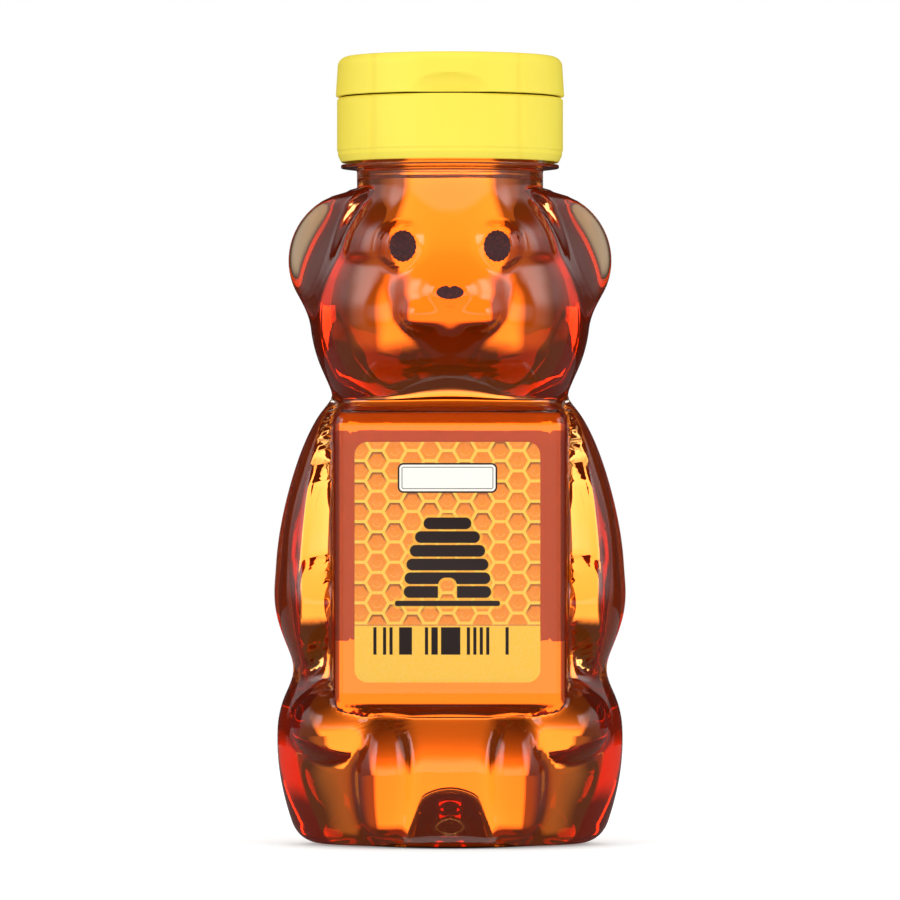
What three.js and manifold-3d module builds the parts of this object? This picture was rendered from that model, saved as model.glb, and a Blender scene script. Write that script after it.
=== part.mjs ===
// Squeeze bottle of honey, blown in the shape of a seated bear, with a screw-on flip-top closure.
// Millimetres, +Z up. The bear faces -Y, and the origin is the middle of its base.
import * as THREE from "three";
import { mergeVertices } from "three/addons/utils/BufferGeometryUtils.js";
import Module from "manifold-3d";

const wasm = await Module();
wasm.setup();

// Bear: overall heights
const bodyHeight = 88.5; // base to the crease under the chin
const headHeight = 42.1; // that crease to the foot of the neck

// Bear: label block, which carries a flat panel on its front and on its back
const panelWidth = 46.2;
const panelHeight = 60;
const panelFoot = 27; // height of the panel's lower edge
const panelDepth = 42.6; // front panel to back panel
const panelRound = 3.2;

// Bear: torso, behind the arms
const torsoWidth = 56;
const torsoDepth = 38;
const torsoRise = 50;
const torsoDrop = 48;

// Bear: arms and paws
const armReach = 6.4; // how far the arms stand out past the torso on each side
const armWidth = 11;
const armDepth = 28;
const armBow = 0.0042; // how fast an arm leans inwards above and below its middle
const armRound = 1.2; // reach of the soft edge round the arm's flat
const armRise = 36;
const armDrop = 20;
const pawWidth = 14.8;
const pawDepth = 28;
const pawHeight = 16.5;
const pawTuck = 1.2; // how far the paws stay inside the arms' outer edge

// Bear: back, which rounds off from the rear panel to the arms
const backWidth = 67;
const backReach = 21;
const backRise = 36;
const backDrop = 22;

// Bear: thighs and feet
const hipSpan = 69;
const thighWidth = 30.4;
const thighDepth = 26;
const thighRise = 17.4;
const thighDrop = 24.8;
const kneeSpan = 63; // over both knees
const kneeWidth = 19;
const kneeHeight = 17;
const kneeReach = 20.6; // from the axis to the front of the knees
const kneeLength = 22;
const footSpan = 39; // over both feet
const footWidth = 14;
const footRise = 13.5;
const footDrop = 17;
const footReach = 23.2; // from the axis to the soles
const footLength = 22;

// Bear: seat and base
const seatTuck = 2.5; // how far the seat stays inside the hips on each side
const seatWidth = hipSpan - 2 * seatTuck;
const seatDepth = 39;
const seatRise = 24;
const seatDrop = 42;
const baseRound = 4.5; // reach of the soft edge between base and sides
const pushUpWidth = 25;
const pushUpHeight = 11;

// Bear: head
const headWidth = 56;
const headDepth = 41;
const headRound = 28; // half the height of the whole head ball
const chinRound = 4; // reach of the crease between head and body, and of the chin's soft edge
const muzzleWidth = 24.4;
const muzzleHeight = 20.6;
const muzzleReach = 24; // from the axis to the tip
const muzzleLength = 19;
const lipWidth = 10;
const lipHeight = 7.5;
const lipReach = 23.4;
const noseWidth = 7;
const noseHeight = 4.6;
const browSpan = 41.6; // over both brows
const browWidth = 22.4;
const browRise = 11.5;
const browDrop = 3;
const browReach = 18;
const browLength = 16;
const cheekSpan = 48; // over both cheeks
const cheekWidth = 26;
const cheekRise = 9.6;
const cheekDrop = 14;
const cheekReach = 17.9;
const cheekLength = 24;
const eyeSpacing = 18.6;
const eyeMoundWidth = 9;
const eyeMoundHeight = 9.4;
const eyeMoundRise = 0.9;
const earSpan = 64.6;
const earWidth = 27;
const earHeight = 27;
const earThickness = 24;
const earRidge = 26.4; // from the middle of the head to the ridge down the front of an ear
const earRidgeReach = 7.2; // how far the ridge stands in front of the axis
const earRoot = 23.7; // from the middle of the head to where an ear falls off to the temple
const earRootReach = 9.2;
const earBackReach = 4.5;
const earRound = 1.6;
const earFlow = 3; // reach of the crease between ear and head

// Neck finish: a 38 mm neck with a single thread start
const neckDiameter = 35.2;
const neckStubDiameter = 37.2; // below the support ring
const shoulderHeight = 3.9; // foot of the neck to the support ring
const supportRingDiameter = 43.6;
const supportRingThickness = 1.5;
const finishHeight = 10.6; // support ring to the rim
const threadDiameter = 37.5;
const threadPitch = 4.233;
const threadTurns = 1.1;
const threadFootWidth = 2.3;
const threadCrestWidth = 0.9;
const threadTop = 2.6; // rim to the middle of the thread's upper end

// Walls and clearances
const bottleWall = 0.75;
const neckWall = 1.4;
const touchGap = 0.3; // between pieces that touch
const threadGap = 0.4; // between the two threads' flanks and crests
const headspace = 7.6; // rim to the honey
const cutOverrun = 1; // how far a cutting shape passes the face it cuts
const rootOverlap = 0.5; // how far a thread or ring is sunk into its wall

// Labels
const labelWidth = 36.6;
const labelHeight = 47.4;
const labelRound = 2.6;
const labelThickness = 0.2;
const backLabelWidth = 41;
const backLabelHeight = 42.4;
const backLabelLift = 4.3; // middle of the back label above the middle of its panel
const labelShift = 0.5; // the front label sits this far to the left of the middle and below it

// Printed eyes and nose
const eyeWidth = 5;
const eyeHeight = 5.8;
const nosePrintWidth = 5.3;
const nosePrintHeight = 2.8;
const printThickness = 0.25;

// Closure: threaded body
const closureDiameter = 45.2;
const closureWall = 1.2;
const skirtClearance = 1.4; // support ring to the closure's lower edge
const skirtChamfer = 1.4;
const threadSleeveWall = 1.15;
const threadSleeveLift = 1.6; // the sleeve ends this far above the skirt
const threadRootGap = 0.35; // neck thread's crest to the sleeve's bore
const deckThickness = 1.2;
const deckEdge = 0.4;
const linerThickness = 0.5;
const sealRingWall = 0.8;
const sealRingDepth = 2.2;
const sealRingGap = 0.5; // between the seal ring and the neck's bore
const spoutDiameter = 11;
const spoutHeight = 3.4;
const spoutRound = 0.8;
const orificeDiameter = 6.4;

// Closure: flip lid, its thumb scoop and its living hinge
const lidDiameter = 45.7;
const lidHeight = 8;
const lidTaper = 0.5; // the lid's top is this much smaller in radius than its foot
const lidWall = 1.3;
const lidTopThickness = 1.4;
const lidRound = 2;
const plugWall = 0.8;
const plugGap = 0.4; // plug to orifice, and the ring round the spout to the spout
const plugDepth = 1.8; // how far the plug and the ring reach over the spout
const spoutRingWall = 0.8;
const thumbScoopWidth = 21;
const thumbScoopHeight = 3.4;
const thumbScoopDepth = 1.9;
const hingeWidth = 10;
const hingeHeight = 5.6;
const hingeThickness = 0.9;
const hingeFilm = 0.3; // what is left at the line that bends
const hingeSlotWidth = 1.6;
const hingeSlotHeight = 3.2;
const hingeSlotSpacing = 4.6;

// Heights and radii worked out from the sizes above
const armSpan = torsoWidth + 2 * armReach;
const headFoot = bodyHeight;
const neckFoot = bodyHeight + headHeight;
const ringBottom = neckFoot + shoulderHeight;
const ringTop = ringBottom + supportRingThickness;
const rimHeight = ringTop + finishHeight;
const honeyTop = rimHeight - headspace;
const neckRadius = neckDiameter / 2;
const neckStubRadius = neckStubDiameter / 2;
const boreRadius = neckRadius - neckWall;
const closureRadius = closureDiameter / 2;
const skirtBottom = ringTop + skirtClearance;
const linerBottom = rimHeight + touchGap;
const deckBottom = linerBottom + linerThickness + touchGap;
const deckTop = deckBottom + deckThickness;
const sleeveBore = threadDiameter / 2 + threadRootGap;
const lidBottom = deckTop + touchGap;
const lidTop = lidBottom + lidHeight;
const panelFront = -panelDepth / 2;
const panelMiddle = panelFoot + panelHeight / 2;
const lidRadius = lidDiameter / 2;
const spoutTop = deckTop + spoutHeight;
const hingeFace = lidRadius + touchGap;
const hingeLine = { y: hingeFace + hingeFilm / 2, z: deckTop + touchGap / 2 };

// How finely the forms are drawn
const ROUND_STEPS = 40;
const THREAD_STEPS_PER_TURN = 20;
const PRINT_STEPS = 14;
const SEARCH_STEP_SHARE = 0.012;
const HALVINGS = 22;

// Directions round the bear as shares of a half turn, from its front to its back, closer at the panel's corners
// and the ears
const columnShares = [
  0, 0.035, 0.07, 0.106, 0.142, 0.175, 0.198, 0.2115, 0.2225, 0.24, 0.263, 0.288, 0.315, 0.332,
  0.35, 0.385, 0.42, 0.46, 0.5, 0.54, 0.59, 0.64, 0.672, 0.71, 0.75, 0.7775, 0.79, 0.835, 0.91, 1,
];

// Rays that look for the skin start this share of the bear's half width beside the axis
const raySpreadShare = 0.86;
const rayFade = 6; // under the neck they come together on the axis
const footFade = 10; // up to here the inner surfaces' rings are lifted by the base's wall

// Levels at which the form is drawn, as shares of the body's height and of the head's
const bodyLevelShares = [
  0.006, 0.03, 0.075, 0.14, 0.22, 0.29, 0.325, 0.37, 0.42, 0.47, 0.54, 0.64, 0.74, 0.82,
  0.89, 0.945, 0.98, 1,
];
const headLevelShares = [
  0.05, 0.14, 0.23, 0.31, 0.375, 0.435, 0.495, 0.555, 0.61, 0.665, 0.72, 0.78, 0.85, 0.92, 0.97, 1.02,
];

// Rings of the push-up dome, as shares of its radius
const domeShares = [0.3, 0.58, 0.76, 0.9, 1];

// Places of the forms: heights are shares of the body's or head's height, depths shares of that part's depth
const torsoHeightShare = 0.6;
const armHeightShare = 0.588;
const armFlatShares = { x: -0.02, y: -0.4725, z: 0.68 };
const pawHeightShare = 0.545;
const pawFrontShare = 0.05;
const thighHeightShare = 0.249;
const kneeHeightShare = 0.268;
const footHeightShare = 0.165;
const seatHeightShare = 0.17;
const headMiddleShare = 0.416;
const chinShares = { y: -0.475, z: 0.262 };
const muzzleMiddleShare = 0.477;
const lipMiddleShare = 0.401;
const lipSpacingShare = 0.5;
const noseMiddleShare = 0.501;
const browMiddleShare = 0.689;
const cheekMiddleShare = 0.43;
const eyeMiddleShare = 0.72;
const earMiddleShare = 0.665;
const earRidgeShare = 0.705;
const softBlendShare = 0.34; // of the crease's reach, for small features

// A smooth union of two distances. Within the reach of each other they flow together, as blown plastic does.
function flowTogether(a, b, reach) {
  const overlap = Math.max(reach - Math.abs(a - b), 0) / reach;
  return Math.min(a, b) - (overlap * overlap * reach) / 4;
}

// Distance to an egg with its own half height above and below its middle.
function egg(centre, half, point) {
  const offset = point.clone().sub(centre);
  const halfHeight = offset.z > 0 ? half.rise : half.drop;
  const radii = new THREE.Vector3(half.x, half.y, halfHeight);
  const once = offset.clone().divide(radii);
  const twice = once.clone().divide(radii);
  const scaled = once.length();
  return scaled === 0 ? -half.x : (scaled * (scaled - 1)) / twice.length();
}

// Distance to a box with rounded edges.
function softBox(centre, half, round, point) {
  const offset = point.clone().sub(centre);
  const past = new THREE.Vector3(
    Math.abs(offset.x) - half.x + round,
    Math.abs(offset.y) - half.y + round,
    Math.abs(offset.z) - half.z + round,
  );
  const inside = Math.min(Math.max(past.x, past.y, past.z), 0);
  return past.max(new THREE.Vector3()).length() + inside - round;
}

// Distance to an upright oval plate with rounded rims, which faces along Y and has its own half height up and
// down.
function ovalPlate(centre, half, round, point) {
  const offset = point.clone().sub(centre);
  const halfHeight = offset.z > 0 ? half.rise : half.drop;
  const once = Math.hypot(offset.x / half.x, offset.z / halfHeight);
  const twice = Math.hypot(offset.x / half.x ** 2, offset.z / halfHeight ** 2);
  const outline = once === 0 ? -half.x : (once * (once - 1)) / twice;
  const pastRim = outline + round;
  const pastFace = Math.abs(offset.y) - half.y + round;
  const inside = Math.min(Math.max(pastRim, pastFace), 0);
  return Math.hypot(Math.max(pastRim, 0), Math.max(pastFace, 0)) + inside - round;
}

// A form's distance with flats cut off it, each given by a place on it and the way that it faces.
function cut(distance, flats, soft, point) {
  return flats.reduce((found, { place, way }) => {
    const past = point.clone().sub(place).dot(way.clone().normalize());
    return -flowTogether(-found, -past, soft);
  }, distance);
}

const bodyLevel = (share) => bodyHeight * share;
const headLevel = (share) => headFoot + headHeight * share;
const fineReach = chinRound * softBlendShare;

// An arm's flat faces outwards and to the front. Its axis bows inwards above and below its middle.
const armMiddle = new THREE.Vector3((armSpan - armWidth) / 2, 0, bodyLevel(armHeightShare));
const armFlats = [
  {
    place: new THREE.Vector3(
      armMiddle.x + armWidth * armFlatShares.x,
      armDepth * armFlatShares.y,
      bodyLevel(armFlatShares.z),
    ),
    way: new THREE.Vector3(0.545, -0.83, 0.12),
  },
];

// The back lies behind the middle only.
const backFlats = [{ place: new THREE.Vector3(), way: new THREE.Vector3(0, -1, 0) }];

// The chin is cut back in front, under the muzzle.
const chinFlats = [
  {
    place: new THREE.Vector3(0, headDepth * chinShares.y, headLevel(chinShares.z)),
    way: new THREE.Vector3(0, -0.75, -0.66),
  },
];

// An ear has a low ridge down its front between two flats, a third towards the temple, and a flat back.
const earFront = new THREE.Vector3(earRidge, -earRidgeReach, headLevel(earRidgeShare));
const earBack = new THREE.Vector3(earRidge, earBackReach, headLevel(earRidgeShare));
const earRootFront = new THREE.Vector3(earRoot, -earRootReach, headLevel(earRidgeShare));
const earFlats = [
  { place: earFront, way: new THREE.Vector3(0.695, -0.719, 0.1) },
  { place: earFront, way: new THREE.Vector3(0.6, -0.8, 0.1) },
  { place: earRootFront, way: new THREE.Vector3(-0.78, -0.55, -0.3) },
  { place: earBack, way: new THREE.Vector3(0, 1, 0) },
];

// The forms that make the bear, each with the reach over which it flows into the rest. Those off the middle
// are mirrored.
const forms = [
  {
    reach: chinRound,
    distance: (p) =>
      egg(
        new THREE.Vector3(0, 0, bodyLevel(torsoHeightShare)),
        { x: torsoWidth / 2, y: torsoDepth / 2, rise: torsoRise, drop: torsoDrop },
        p,
      ),
  },
  {
    reach: chinRound,
    distance: (p) => {
      const half = { x: backWidth / 2, y: backReach, rise: backRise, drop: backDrop };
      return cut(egg(new THREE.Vector3(0, 0, armMiddle.z), half, p), backFlats, chinRound, p);
    },
  },
  {
    reach: chinRound,
    distance: (p) => {
      const straight = p.clone().setX(p.x + armBow * (p.z - armMiddle.z) ** 2);
      const half = { x: armWidth / 2, y: armDepth / 2, rise: armRise, drop: armDrop };
      return cut(egg(armMiddle, half, straight), armFlats, armRound, p);
    },
  },
  {
    reach: chinRound,
    distance: (p) =>
      egg(
        new THREE.Vector3(
          (armSpan - pawWidth) / 2 - pawTuck,
          -armDepth * pawFrontShare,
          bodyLevel(pawHeightShare),
        ),
        { x: pawWidth / 2, y: pawDepth / 2, rise: pawHeight / 2, drop: pawHeight / 2 },
        p,
      ),
  },
  {
    reach: chinRound,
    distance: (p) =>
      egg(
        new THREE.Vector3((hipSpan - thighWidth) / 2, 0, bodyLevel(thighHeightShare)),
        { x: thighWidth / 2, y: thighDepth / 2, rise: thighRise, drop: thighDrop },
        p,
      ),
  },
  {
    reach: chinRound,
    distance: (p) =>
      egg(
        new THREE.Vector3(0, 0, bodyLevel(seatHeightShare)),
        { x: seatWidth / 2, y: seatDepth / 2, rise: seatRise, drop: seatDrop },
        p,
      ),
  },
  {
    reach: fineReach,
    distance: (p) =>
      egg(
        new THREE.Vector3((kneeSpan - kneeWidth) / 2, kneeLength / 2 - kneeReach, bodyLevel(kneeHeightShare)),
        { x: kneeWidth / 2, y: kneeLength / 2, rise: kneeHeight / 2, drop: kneeHeight / 2 },
        p,
      ),
  },
  {
    reach: fineReach,
    distance: (p) =>
      egg(
        new THREE.Vector3((footSpan - footWidth) / 2, footLength / 2 - footReach, bodyLevel(footHeightShare)),
        { x: footWidth / 2, y: footLength / 2, rise: footRise, drop: footDrop },
        p,
      ),
  },
  {
    reach: fineReach,
    distance: (p) =>
      softBox(
        new THREE.Vector3(0, 0, panelMiddle),
        { x: panelWidth / 2, y: panelDepth / 2, z: panelHeight / 2 },
        panelRound,
        p,
      ),
  },
  {
    reach: chinRound,
    distance: (p) => {
      const middle = new THREE.Vector3(0, 0, headLevel(headMiddleShare));
      const half = { x: headWidth / 2, y: headDepth / 2, rise: headRound, drop: headRound };
      return cut(egg(middle, half, p), chinFlats, chinRound, p);
    },
  },
  {
    reach: earFlow,
    distance: (p) => {
      const middle = new THREE.Vector3((earSpan - earWidth) / 2, 0, headLevel(earMiddleShare));
      const half = { x: earWidth / 2, y: earThickness / 2, rise: earHeight / 2, drop: earHeight / 2 };
      return cut(ovalPlate(middle, half, earRound, p), earFlats, earRound, p);
    },
  },
  {
    reach: fineReach,
    distance: (p) =>
      egg(
        new THREE.Vector3((browSpan - browWidth) / 2, browLength / 2 - browReach, headLevel(browMiddleShare)),
        { x: browWidth / 2, y: browLength / 2, rise: browRise, drop: browDrop },
        p,
      ),
  },
  {
    reach: fineReach,
    distance: (p) =>
      egg(
        new THREE.Vector3(
          (cheekSpan - cheekWidth) / 2,
          cheekLength / 2 - cheekReach,
          headLevel(cheekMiddleShare),
        ),
        { x: cheekWidth / 2, y: cheekLength / 2, rise: cheekRise, drop: cheekDrop },
        p,
      ),
  },
  {
    reach: fineReach,
    distance: (p) =>
      egg(
        new THREE.Vector3(0, muzzleLength / 2 - muzzleReach, headLevel(muzzleMiddleShare)),
        { x: muzzleWidth / 2, y: muzzleLength / 2, rise: muzzleHeight / 2, drop: muzzleHeight / 2 },
        p,
      ),
  },
  {
    reach: fineReach,
    distance: (p) =>
      egg(
        new THREE.Vector3(lipWidth * lipSpacingShare, lipWidth / 2 - lipReach, headLevel(lipMiddleShare)),
        { x: lipWidth / 2, y: lipWidth / 2, rise: lipHeight / 2, drop: lipHeight / 2 },
        p,
      ),
  },
];

// Distance to the whole bear below its neck, with a soft edge all round its flat base.
function bearWithoutEyes(point) {
  const folded = new THREE.Vector3(Math.abs(point.x), point.y, point.z);
  let distance = Infinity;
  for (const form of forms) {
    const next = form.distance(folded);
    distance = distance === Infinity ? next : flowTogether(distance, next, form.reach);
  }
  const radius = Math.hypot(point.x, point.y);
  const belowHead = headLevel(headMiddleShare) - point.z;
  distance = flowTogether(distance, Math.max(radius - neckStubRadius, belowHead), chinRound);
  return -flowTogether(-distance, point.z, baseRound);
}

// How far along a level ray from a point inside the bear the surface lies that far under its skin. Each depth
// is looked for inside the one above it, so that no surface passes another.
function reachOf(start, way, depth) {
  const outside = Math.max(hipSpan, armSpan, earSpan, 2 * muzzleReach, panelDepth + panelWidth);
  const at = (reach) => bear(start.clone().addScaledVector(way, reach)) + depth;
  let outer = depth > 0 ? reachOf(start, way, Math.max(depth - touchGap, 0)) : outside;
  while (outer > 0 && at(outer) > 0) outer -= outside * SEARCH_STEP_SHARE;
  let inner = outer;
  outer = inner + outside * SEARCH_STEP_SHARE;
  for (let i = 0; i < HALVINGS; i++) {
    const middle = (inner + outer) / 2;
    if (at(middle) > 0) outer = middle;
    else inner = middle;
  }
  return inner;
}

// The front of the bear's skin above a place on the plane that it faces, as a point.
function frontOf(distance, x, z) {
  let front = -Math.max(muzzleReach, headDepth, panelDepth);
  let behind = 0;
  const step = -front * SEARCH_STEP_SHARE;
  while (front < 0 && distance(new THREE.Vector3(x, front, z)) > 0) front += step;
  behind = front;
  front -= step;
  for (let i = 0; i < HALVINGS; i++) {
    const middle = (front + behind) / 2;
    if (distance(new THREE.Vector3(x, middle, z)) > 0) front = middle;
    else behind = middle;
  }
  return new THREE.Vector3(x, behind, z);
}

// Eyes are printed on two low mounds, which stand on the face wherever it is.
const eyeHeightOnHead = headLevel(eyeMiddleShare);
const faceAtEye = frontOf(bearWithoutEyes, eyeSpacing / 2, eyeHeightOnHead);
const eyeMound = {
  centre: faceAtEye,
  half: {
    x: eyeMoundWidth / 2,
    y: 2 * eyeMoundRise,
    rise: eyeMoundHeight / 2,
    drop: eyeMoundHeight / 2,
  },
};

// The nose stands on the muzzle in the same way.
const muzzleAtNose = frontOf(bearWithoutEyes, 0, headLevel(noseMiddleShare));
const nose = {
  centre: muzzleAtNose,
  half: { x: noseWidth / 2, y: noseHeight / 4, rise: noseHeight / 2, drop: noseHeight / 2 },
};

function bear(point) {
  const folded = new THREE.Vector3(Math.abs(point.x), point.y, point.z);
  const face = flowTogether(
    bearWithoutEyes(point),
    egg(eyeMound.centre, eyeMound.half, folded),
    fineReach,
  );
  return flowTogether(face, egg(nose.centre, nose.half, point), fineReach);
}

// The surface that lies a depth under the bear's skin, at a height, in each column. The rays spread sideways
// from the axis and face more squarely to the front and back than the columns do, so that they reach into the
// creases beside arms and ears. Inner surfaces are drawn a little higher, as they stand on the base's wall.
function levelPoints(height, depth) {
  const side = new THREE.Vector3(1, 0, 0);
  const near = [-4, -2, 0, 2, 4].map((offset) =>
    reachOf(new THREE.Vector3(0, 0, Math.max(height + offset, touchGap)), side, 0),
  );
  const spread = THREE.MathUtils.smoothstep(neckFoot - height, 0, rayFade);
  const shift = Math.min(...near) * raySpreadShare * spread;
  const level = height + depth * Math.max(1 - height / footFade, 0);
  return columnAngles.map((angle) => {
    const start = new THREE.Vector3(Math.cos(angle) * shift, 0, level);
    const square = 1 - spread * Math.sin(angle) ** 2;
    const way = new THREE.Vector3(Math.cos(angle) * square, Math.sin(angle), 0).normalize();
    return start.addScaledVector(way, reachOf(start, way, depth));
  });
}

// Outward direction of the skin at a point.
function outward(distance, point) {
  const step = bottleWall / 10;
  const slope = ["x", "y", "z"].map((axis) => {
    const ahead = point.clone();
    const back = point.clone();
    ahead[axis] += step;
    back[axis] -= step;
    return distance(ahead) - distance(back);
  });
  return new THREE.Vector3(...slope).normalize();
}

// Angles of the columns: the listed half turn from the front, then its mirror image.
const frontAngle = -Math.PI / 2;
const halfTurn = columnShares.map((share) => share * Math.PI);
const columnAngles = [
  ...halfTurn.map((turn) => frontAngle + turn),
  ...halfTurn.slice(1, -1).reverse().map((turn) => frontAngle - turn),
];

// The wall is thin on the blown bear and thick at the moulded neck.
function wallAt(height) {
  const neckShare = THREE.MathUtils.clamp((height - neckFoot) / shoulderHeight, 0, 1);
  return THREE.MathUtils.lerp(bottleWall, neckWall, neckShare);
}

// A ring of the push-up dome under the base, moved up through it by a depth.
function domeRing(radiusShare, depth) {
  const radius = (pushUpWidth / 2) * radiusShare;
  const slope = (-2 * pushUpHeight * radiusShare) / (pushUpWidth / 2);
  const height = pushUpHeight * (1 - radiusShare ** 2);
  const points = columnAngles.map((angle) => {
    const way = new THREE.Vector3(Math.cos(angle), Math.sin(angle), 0);
    const down = way.clone().multiplyScalar(slope).setZ(-1).normalize();
    return way.multiplyScalar(radius).setZ(height).addScaledVector(down, -depth);
  });
  return { height: 0, points };
}

function neckRing(height, radius) {
  const points = columnAngles.map(
    (angle) => new THREE.Vector3(radius * Math.cos(angle), radius * Math.sin(angle), height),
  );
  return { height, points };
}

// Rings from the push-up dome to the rim, of the surface that lies under the skin by the depth at each height.
function ringsUnder(depthAt) {
  const foot = depthAt(0);
  const standLevel = bodyLevel(bodyLevelShares[0]) / 4;
  const levels = [...bodyLevelShares.map(bodyLevel), ...headLevelShares.map(headLevel)];
  return [
    ...domeShares.map((share) => domeRing(share, foot)),
    { height: 0, points: levelPoints(standLevel, foot).map((point) => point.setZ(foot)) },
    ...levels.map((height) => ({ height, points: levelPoints(height, depthAt(height)) })),
    neckRing(ringBottom, neckStubRadius - depthAt(ringBottom)),
    ...[ringTop, honeyTop, rimHeight].map((height) => neckRing(height, neckRadius - depthAt(height))),
  ];
}

// A closed surface through rings of points, with a fan of triangles over each end.
function closeRings(rings) {
  const count = rings[0].points.length;
  const positions = rings.flatMap(({ points }) => points.flatMap((point) => point.toArray()));
  const middleOf = ({ points }) => {
    const sum = points.reduce((total, point) => total.add(point), new THREE.Vector3());
    return sum.divideScalar(points.length);
  };
  const bottom = middleOf(rings[0]);
  const top = middleOf(rings[rings.length - 1]);
  positions.push(...bottom.toArray(), ...top.toArray());
  const bottomIndex = rings.length * count;
  const topIndex = bottomIndex + 1;
  const faces = [];
  for (let i = 0; i < count; i++) {
    const next = (i + 1) % count;
    const last = (rings.length - 1) * count;
    faces.push(bottomIndex, next, i, topIndex, last + i, last + next);
    for (let ring = 0; ring < rings.length - 1; ring++) {
      const low = ring * count;
      const high = low + count;
      faces.push(low + i, low + next, high + next, low + i, high + next, high + i);
    }
  }
  return new THREE.BufferGeometry()
    .setAttribute("position", new THREE.Float32BufferAttribute(positions, 3))
    .setIndex(faces);
}

// A three.js geometry as a solid that can be joined and cut.
function solid(geometry) {
  const bare = geometry.index ? geometry.toNonIndexed() : geometry.clone();
  const merged = mergeVertices(
    new THREE.BufferGeometry().setAttribute("position", bare.getAttribute("position")),
    touchGap / 1000,
  );
  return new wasm.Manifold(
    new wasm.Mesh({
      numProp: 3,
      vertProperties: merged.attributes.position.array,
      triVerts: new Uint32Array(merged.index.array),
    }),
  );
}

// A solid back as a geometry.
function geometryOf(body) {
  const mesh = body.getMesh();
  const positions = [];
  for (let i = 0; i < mesh.numVert; i++) {
    positions.push(...mesh.vertProperties.subarray(i * mesh.numProp, i * mesh.numProp + 3));
  }
  return new THREE.BufferGeometry()
    .setAttribute("position", new THREE.Float32BufferAttribute(positions, 3))
    .setIndex([...mesh.triVerts]);
}

// Turns a closed outline of [radius, height] points round the upright axis.
function turned(outline) {
  const area = outline.reduce((sum, [radius, height], i) => {
    const [nextRadius, nextHeight] = outline[(i + 1) % outline.length];
    return sum + radius * nextHeight - nextRadius * height;
  }, 0);
  const ordered = area > 0 ? outline : [...outline].reverse();
  const points = [...ordered, ordered[0]].map(([radius, height]) => new THREE.Vector2(radius, height));
  return new THREE.LatheGeometry(points, ROUND_STEPS).rotateX(Math.PI / 2);
}

// A ridge that climbs round the axis as a right-hand thread. It fades out at both ends.
function threadRidge(rootRadius, crestRadius, lowestHeight, footWidth, crestWidth) {
  const steps = Math.round(threadTurns * THREAD_STEPS_PER_TURN);
  const fadeSteps = 3;
  const positions = [];
  for (let i = 0; i <= steps; i++) {
    const angle = (i / THREAD_STEPS_PER_TURN) * 2 * Math.PI;
    const middle = lowestHeight + (i / THREAD_STEPS_PER_TURN) * threadPitch;
    const fullness = Math.min((i + 1) / fadeSteps, (steps - i + 1) / fadeSteps, 1);
    const crest = THREE.MathUtils.lerp(rootRadius, crestRadius, fullness);
    const section = [
      [rootRadius, -footWidth / 2],
      [crest, -crestWidth / 2],
      [crest, crestWidth / 2],
      [rootRadius, footWidth / 2],
    ];
    for (const [radius, rise] of section) {
      positions.push(radius * Math.cos(angle), radius * Math.sin(angle), middle + rise);
    }
  }
  const faces = [0, 1, 2, 0, 2, 3];
  const last = steps * 4;
  faces.push(last, last + 2, last + 1, last, last + 3, last + 2);
  for (let i = 0; i < steps; i++) {
    for (let side = 0; side < 4; side++) {
      const a = i * 4 + side;
      const b = i * 4 + ((side + 1) % 4);
      faces.push(a, a + 4, b + 4, a, b + 4, b);
    }
  }
  if (crestRadius < rootRadius) faces.reverse();
  return new THREE.BufferGeometry()
    .setAttribute("position", new THREE.Float32BufferAttribute(positions, 3))
    .setIndex(faces);
}

const threadRise = threadTurns * threadPitch;
const neckThreadFoot = rimHeight - threadTop - threadRise;

// Bottle: blown bear, moulded neck with its support ring and thread, hollow and open at the rim.
function bottleGeometry() {
  const supportRing = turned([
    [neckRadius - rootOverlap, ringBottom],
    [supportRingDiameter / 2, ringBottom + supportRingThickness * 0.25],
    [supportRingDiameter / 2, ringBottom + supportRingThickness * 0.7],
    [neckRadius - rootOverlap, ringTop],
  ]);
  const thread = threadRidge(
    neckRadius - rootOverlap,
    threadDiameter / 2,
    neckThreadFoot,
    threadFootWidth,
    threadCrestWidth,
  );
  const inside = ringsUnder(wallAt);
  const mouth = inside[inside.length - 1].points.map((point) =>
    point.clone().setZ(rimHeight + cutOverrun),
  );
  inside.push({ height: rimHeight + cutOverrun, points: mouth });
  const skin = ringsUnder(() => 0);
  const outer = solid(closeRings(skin)).add(solid(supportRing)).add(solid(thread));
  return geometryOf(outer.subtract(solid(closeRings(inside))));
}

// Honey: everything inside the wall up to the fill level in the neck.
function honeyGeometry() {
  const depthAt = (height) => wallAt(height) + touchGap;
  const rings = ringsUnder(depthAt).filter(({ height }) => height <= honeyTop);
  return closeRings(rings);
}

// A flat plate with rounded corners that stands upright and faces along Y, its back at the given depth.
function uprightPlate(width, height, round, thickness) {
  const x = width / 2;
  const z = height / 2;
  const shape = new THREE.Shape()
    .moveTo(-x + round, -z)
    .lineTo(x - round, -z)
    .absarc(x - round, -z + round, round, -Math.PI / 2, 0)
    .lineTo(x, z - round)
    .absarc(x - round, z - round, round, 0, Math.PI / 2)
    .lineTo(-x + round, z)
    .absarc(-x + round, z - round, round, Math.PI / 2, Math.PI)
    .lineTo(-x, -z + round)
    .absarc(-x + round, -z + round, round, Math.PI, (3 * Math.PI) / 2);
  return new THREE.ExtrudeGeometry(shape, {
    depth: thickness,
    bevelEnabled: false,
    curveSegments: 5,
  }).rotateX(Math.PI / 2);
}

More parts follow.
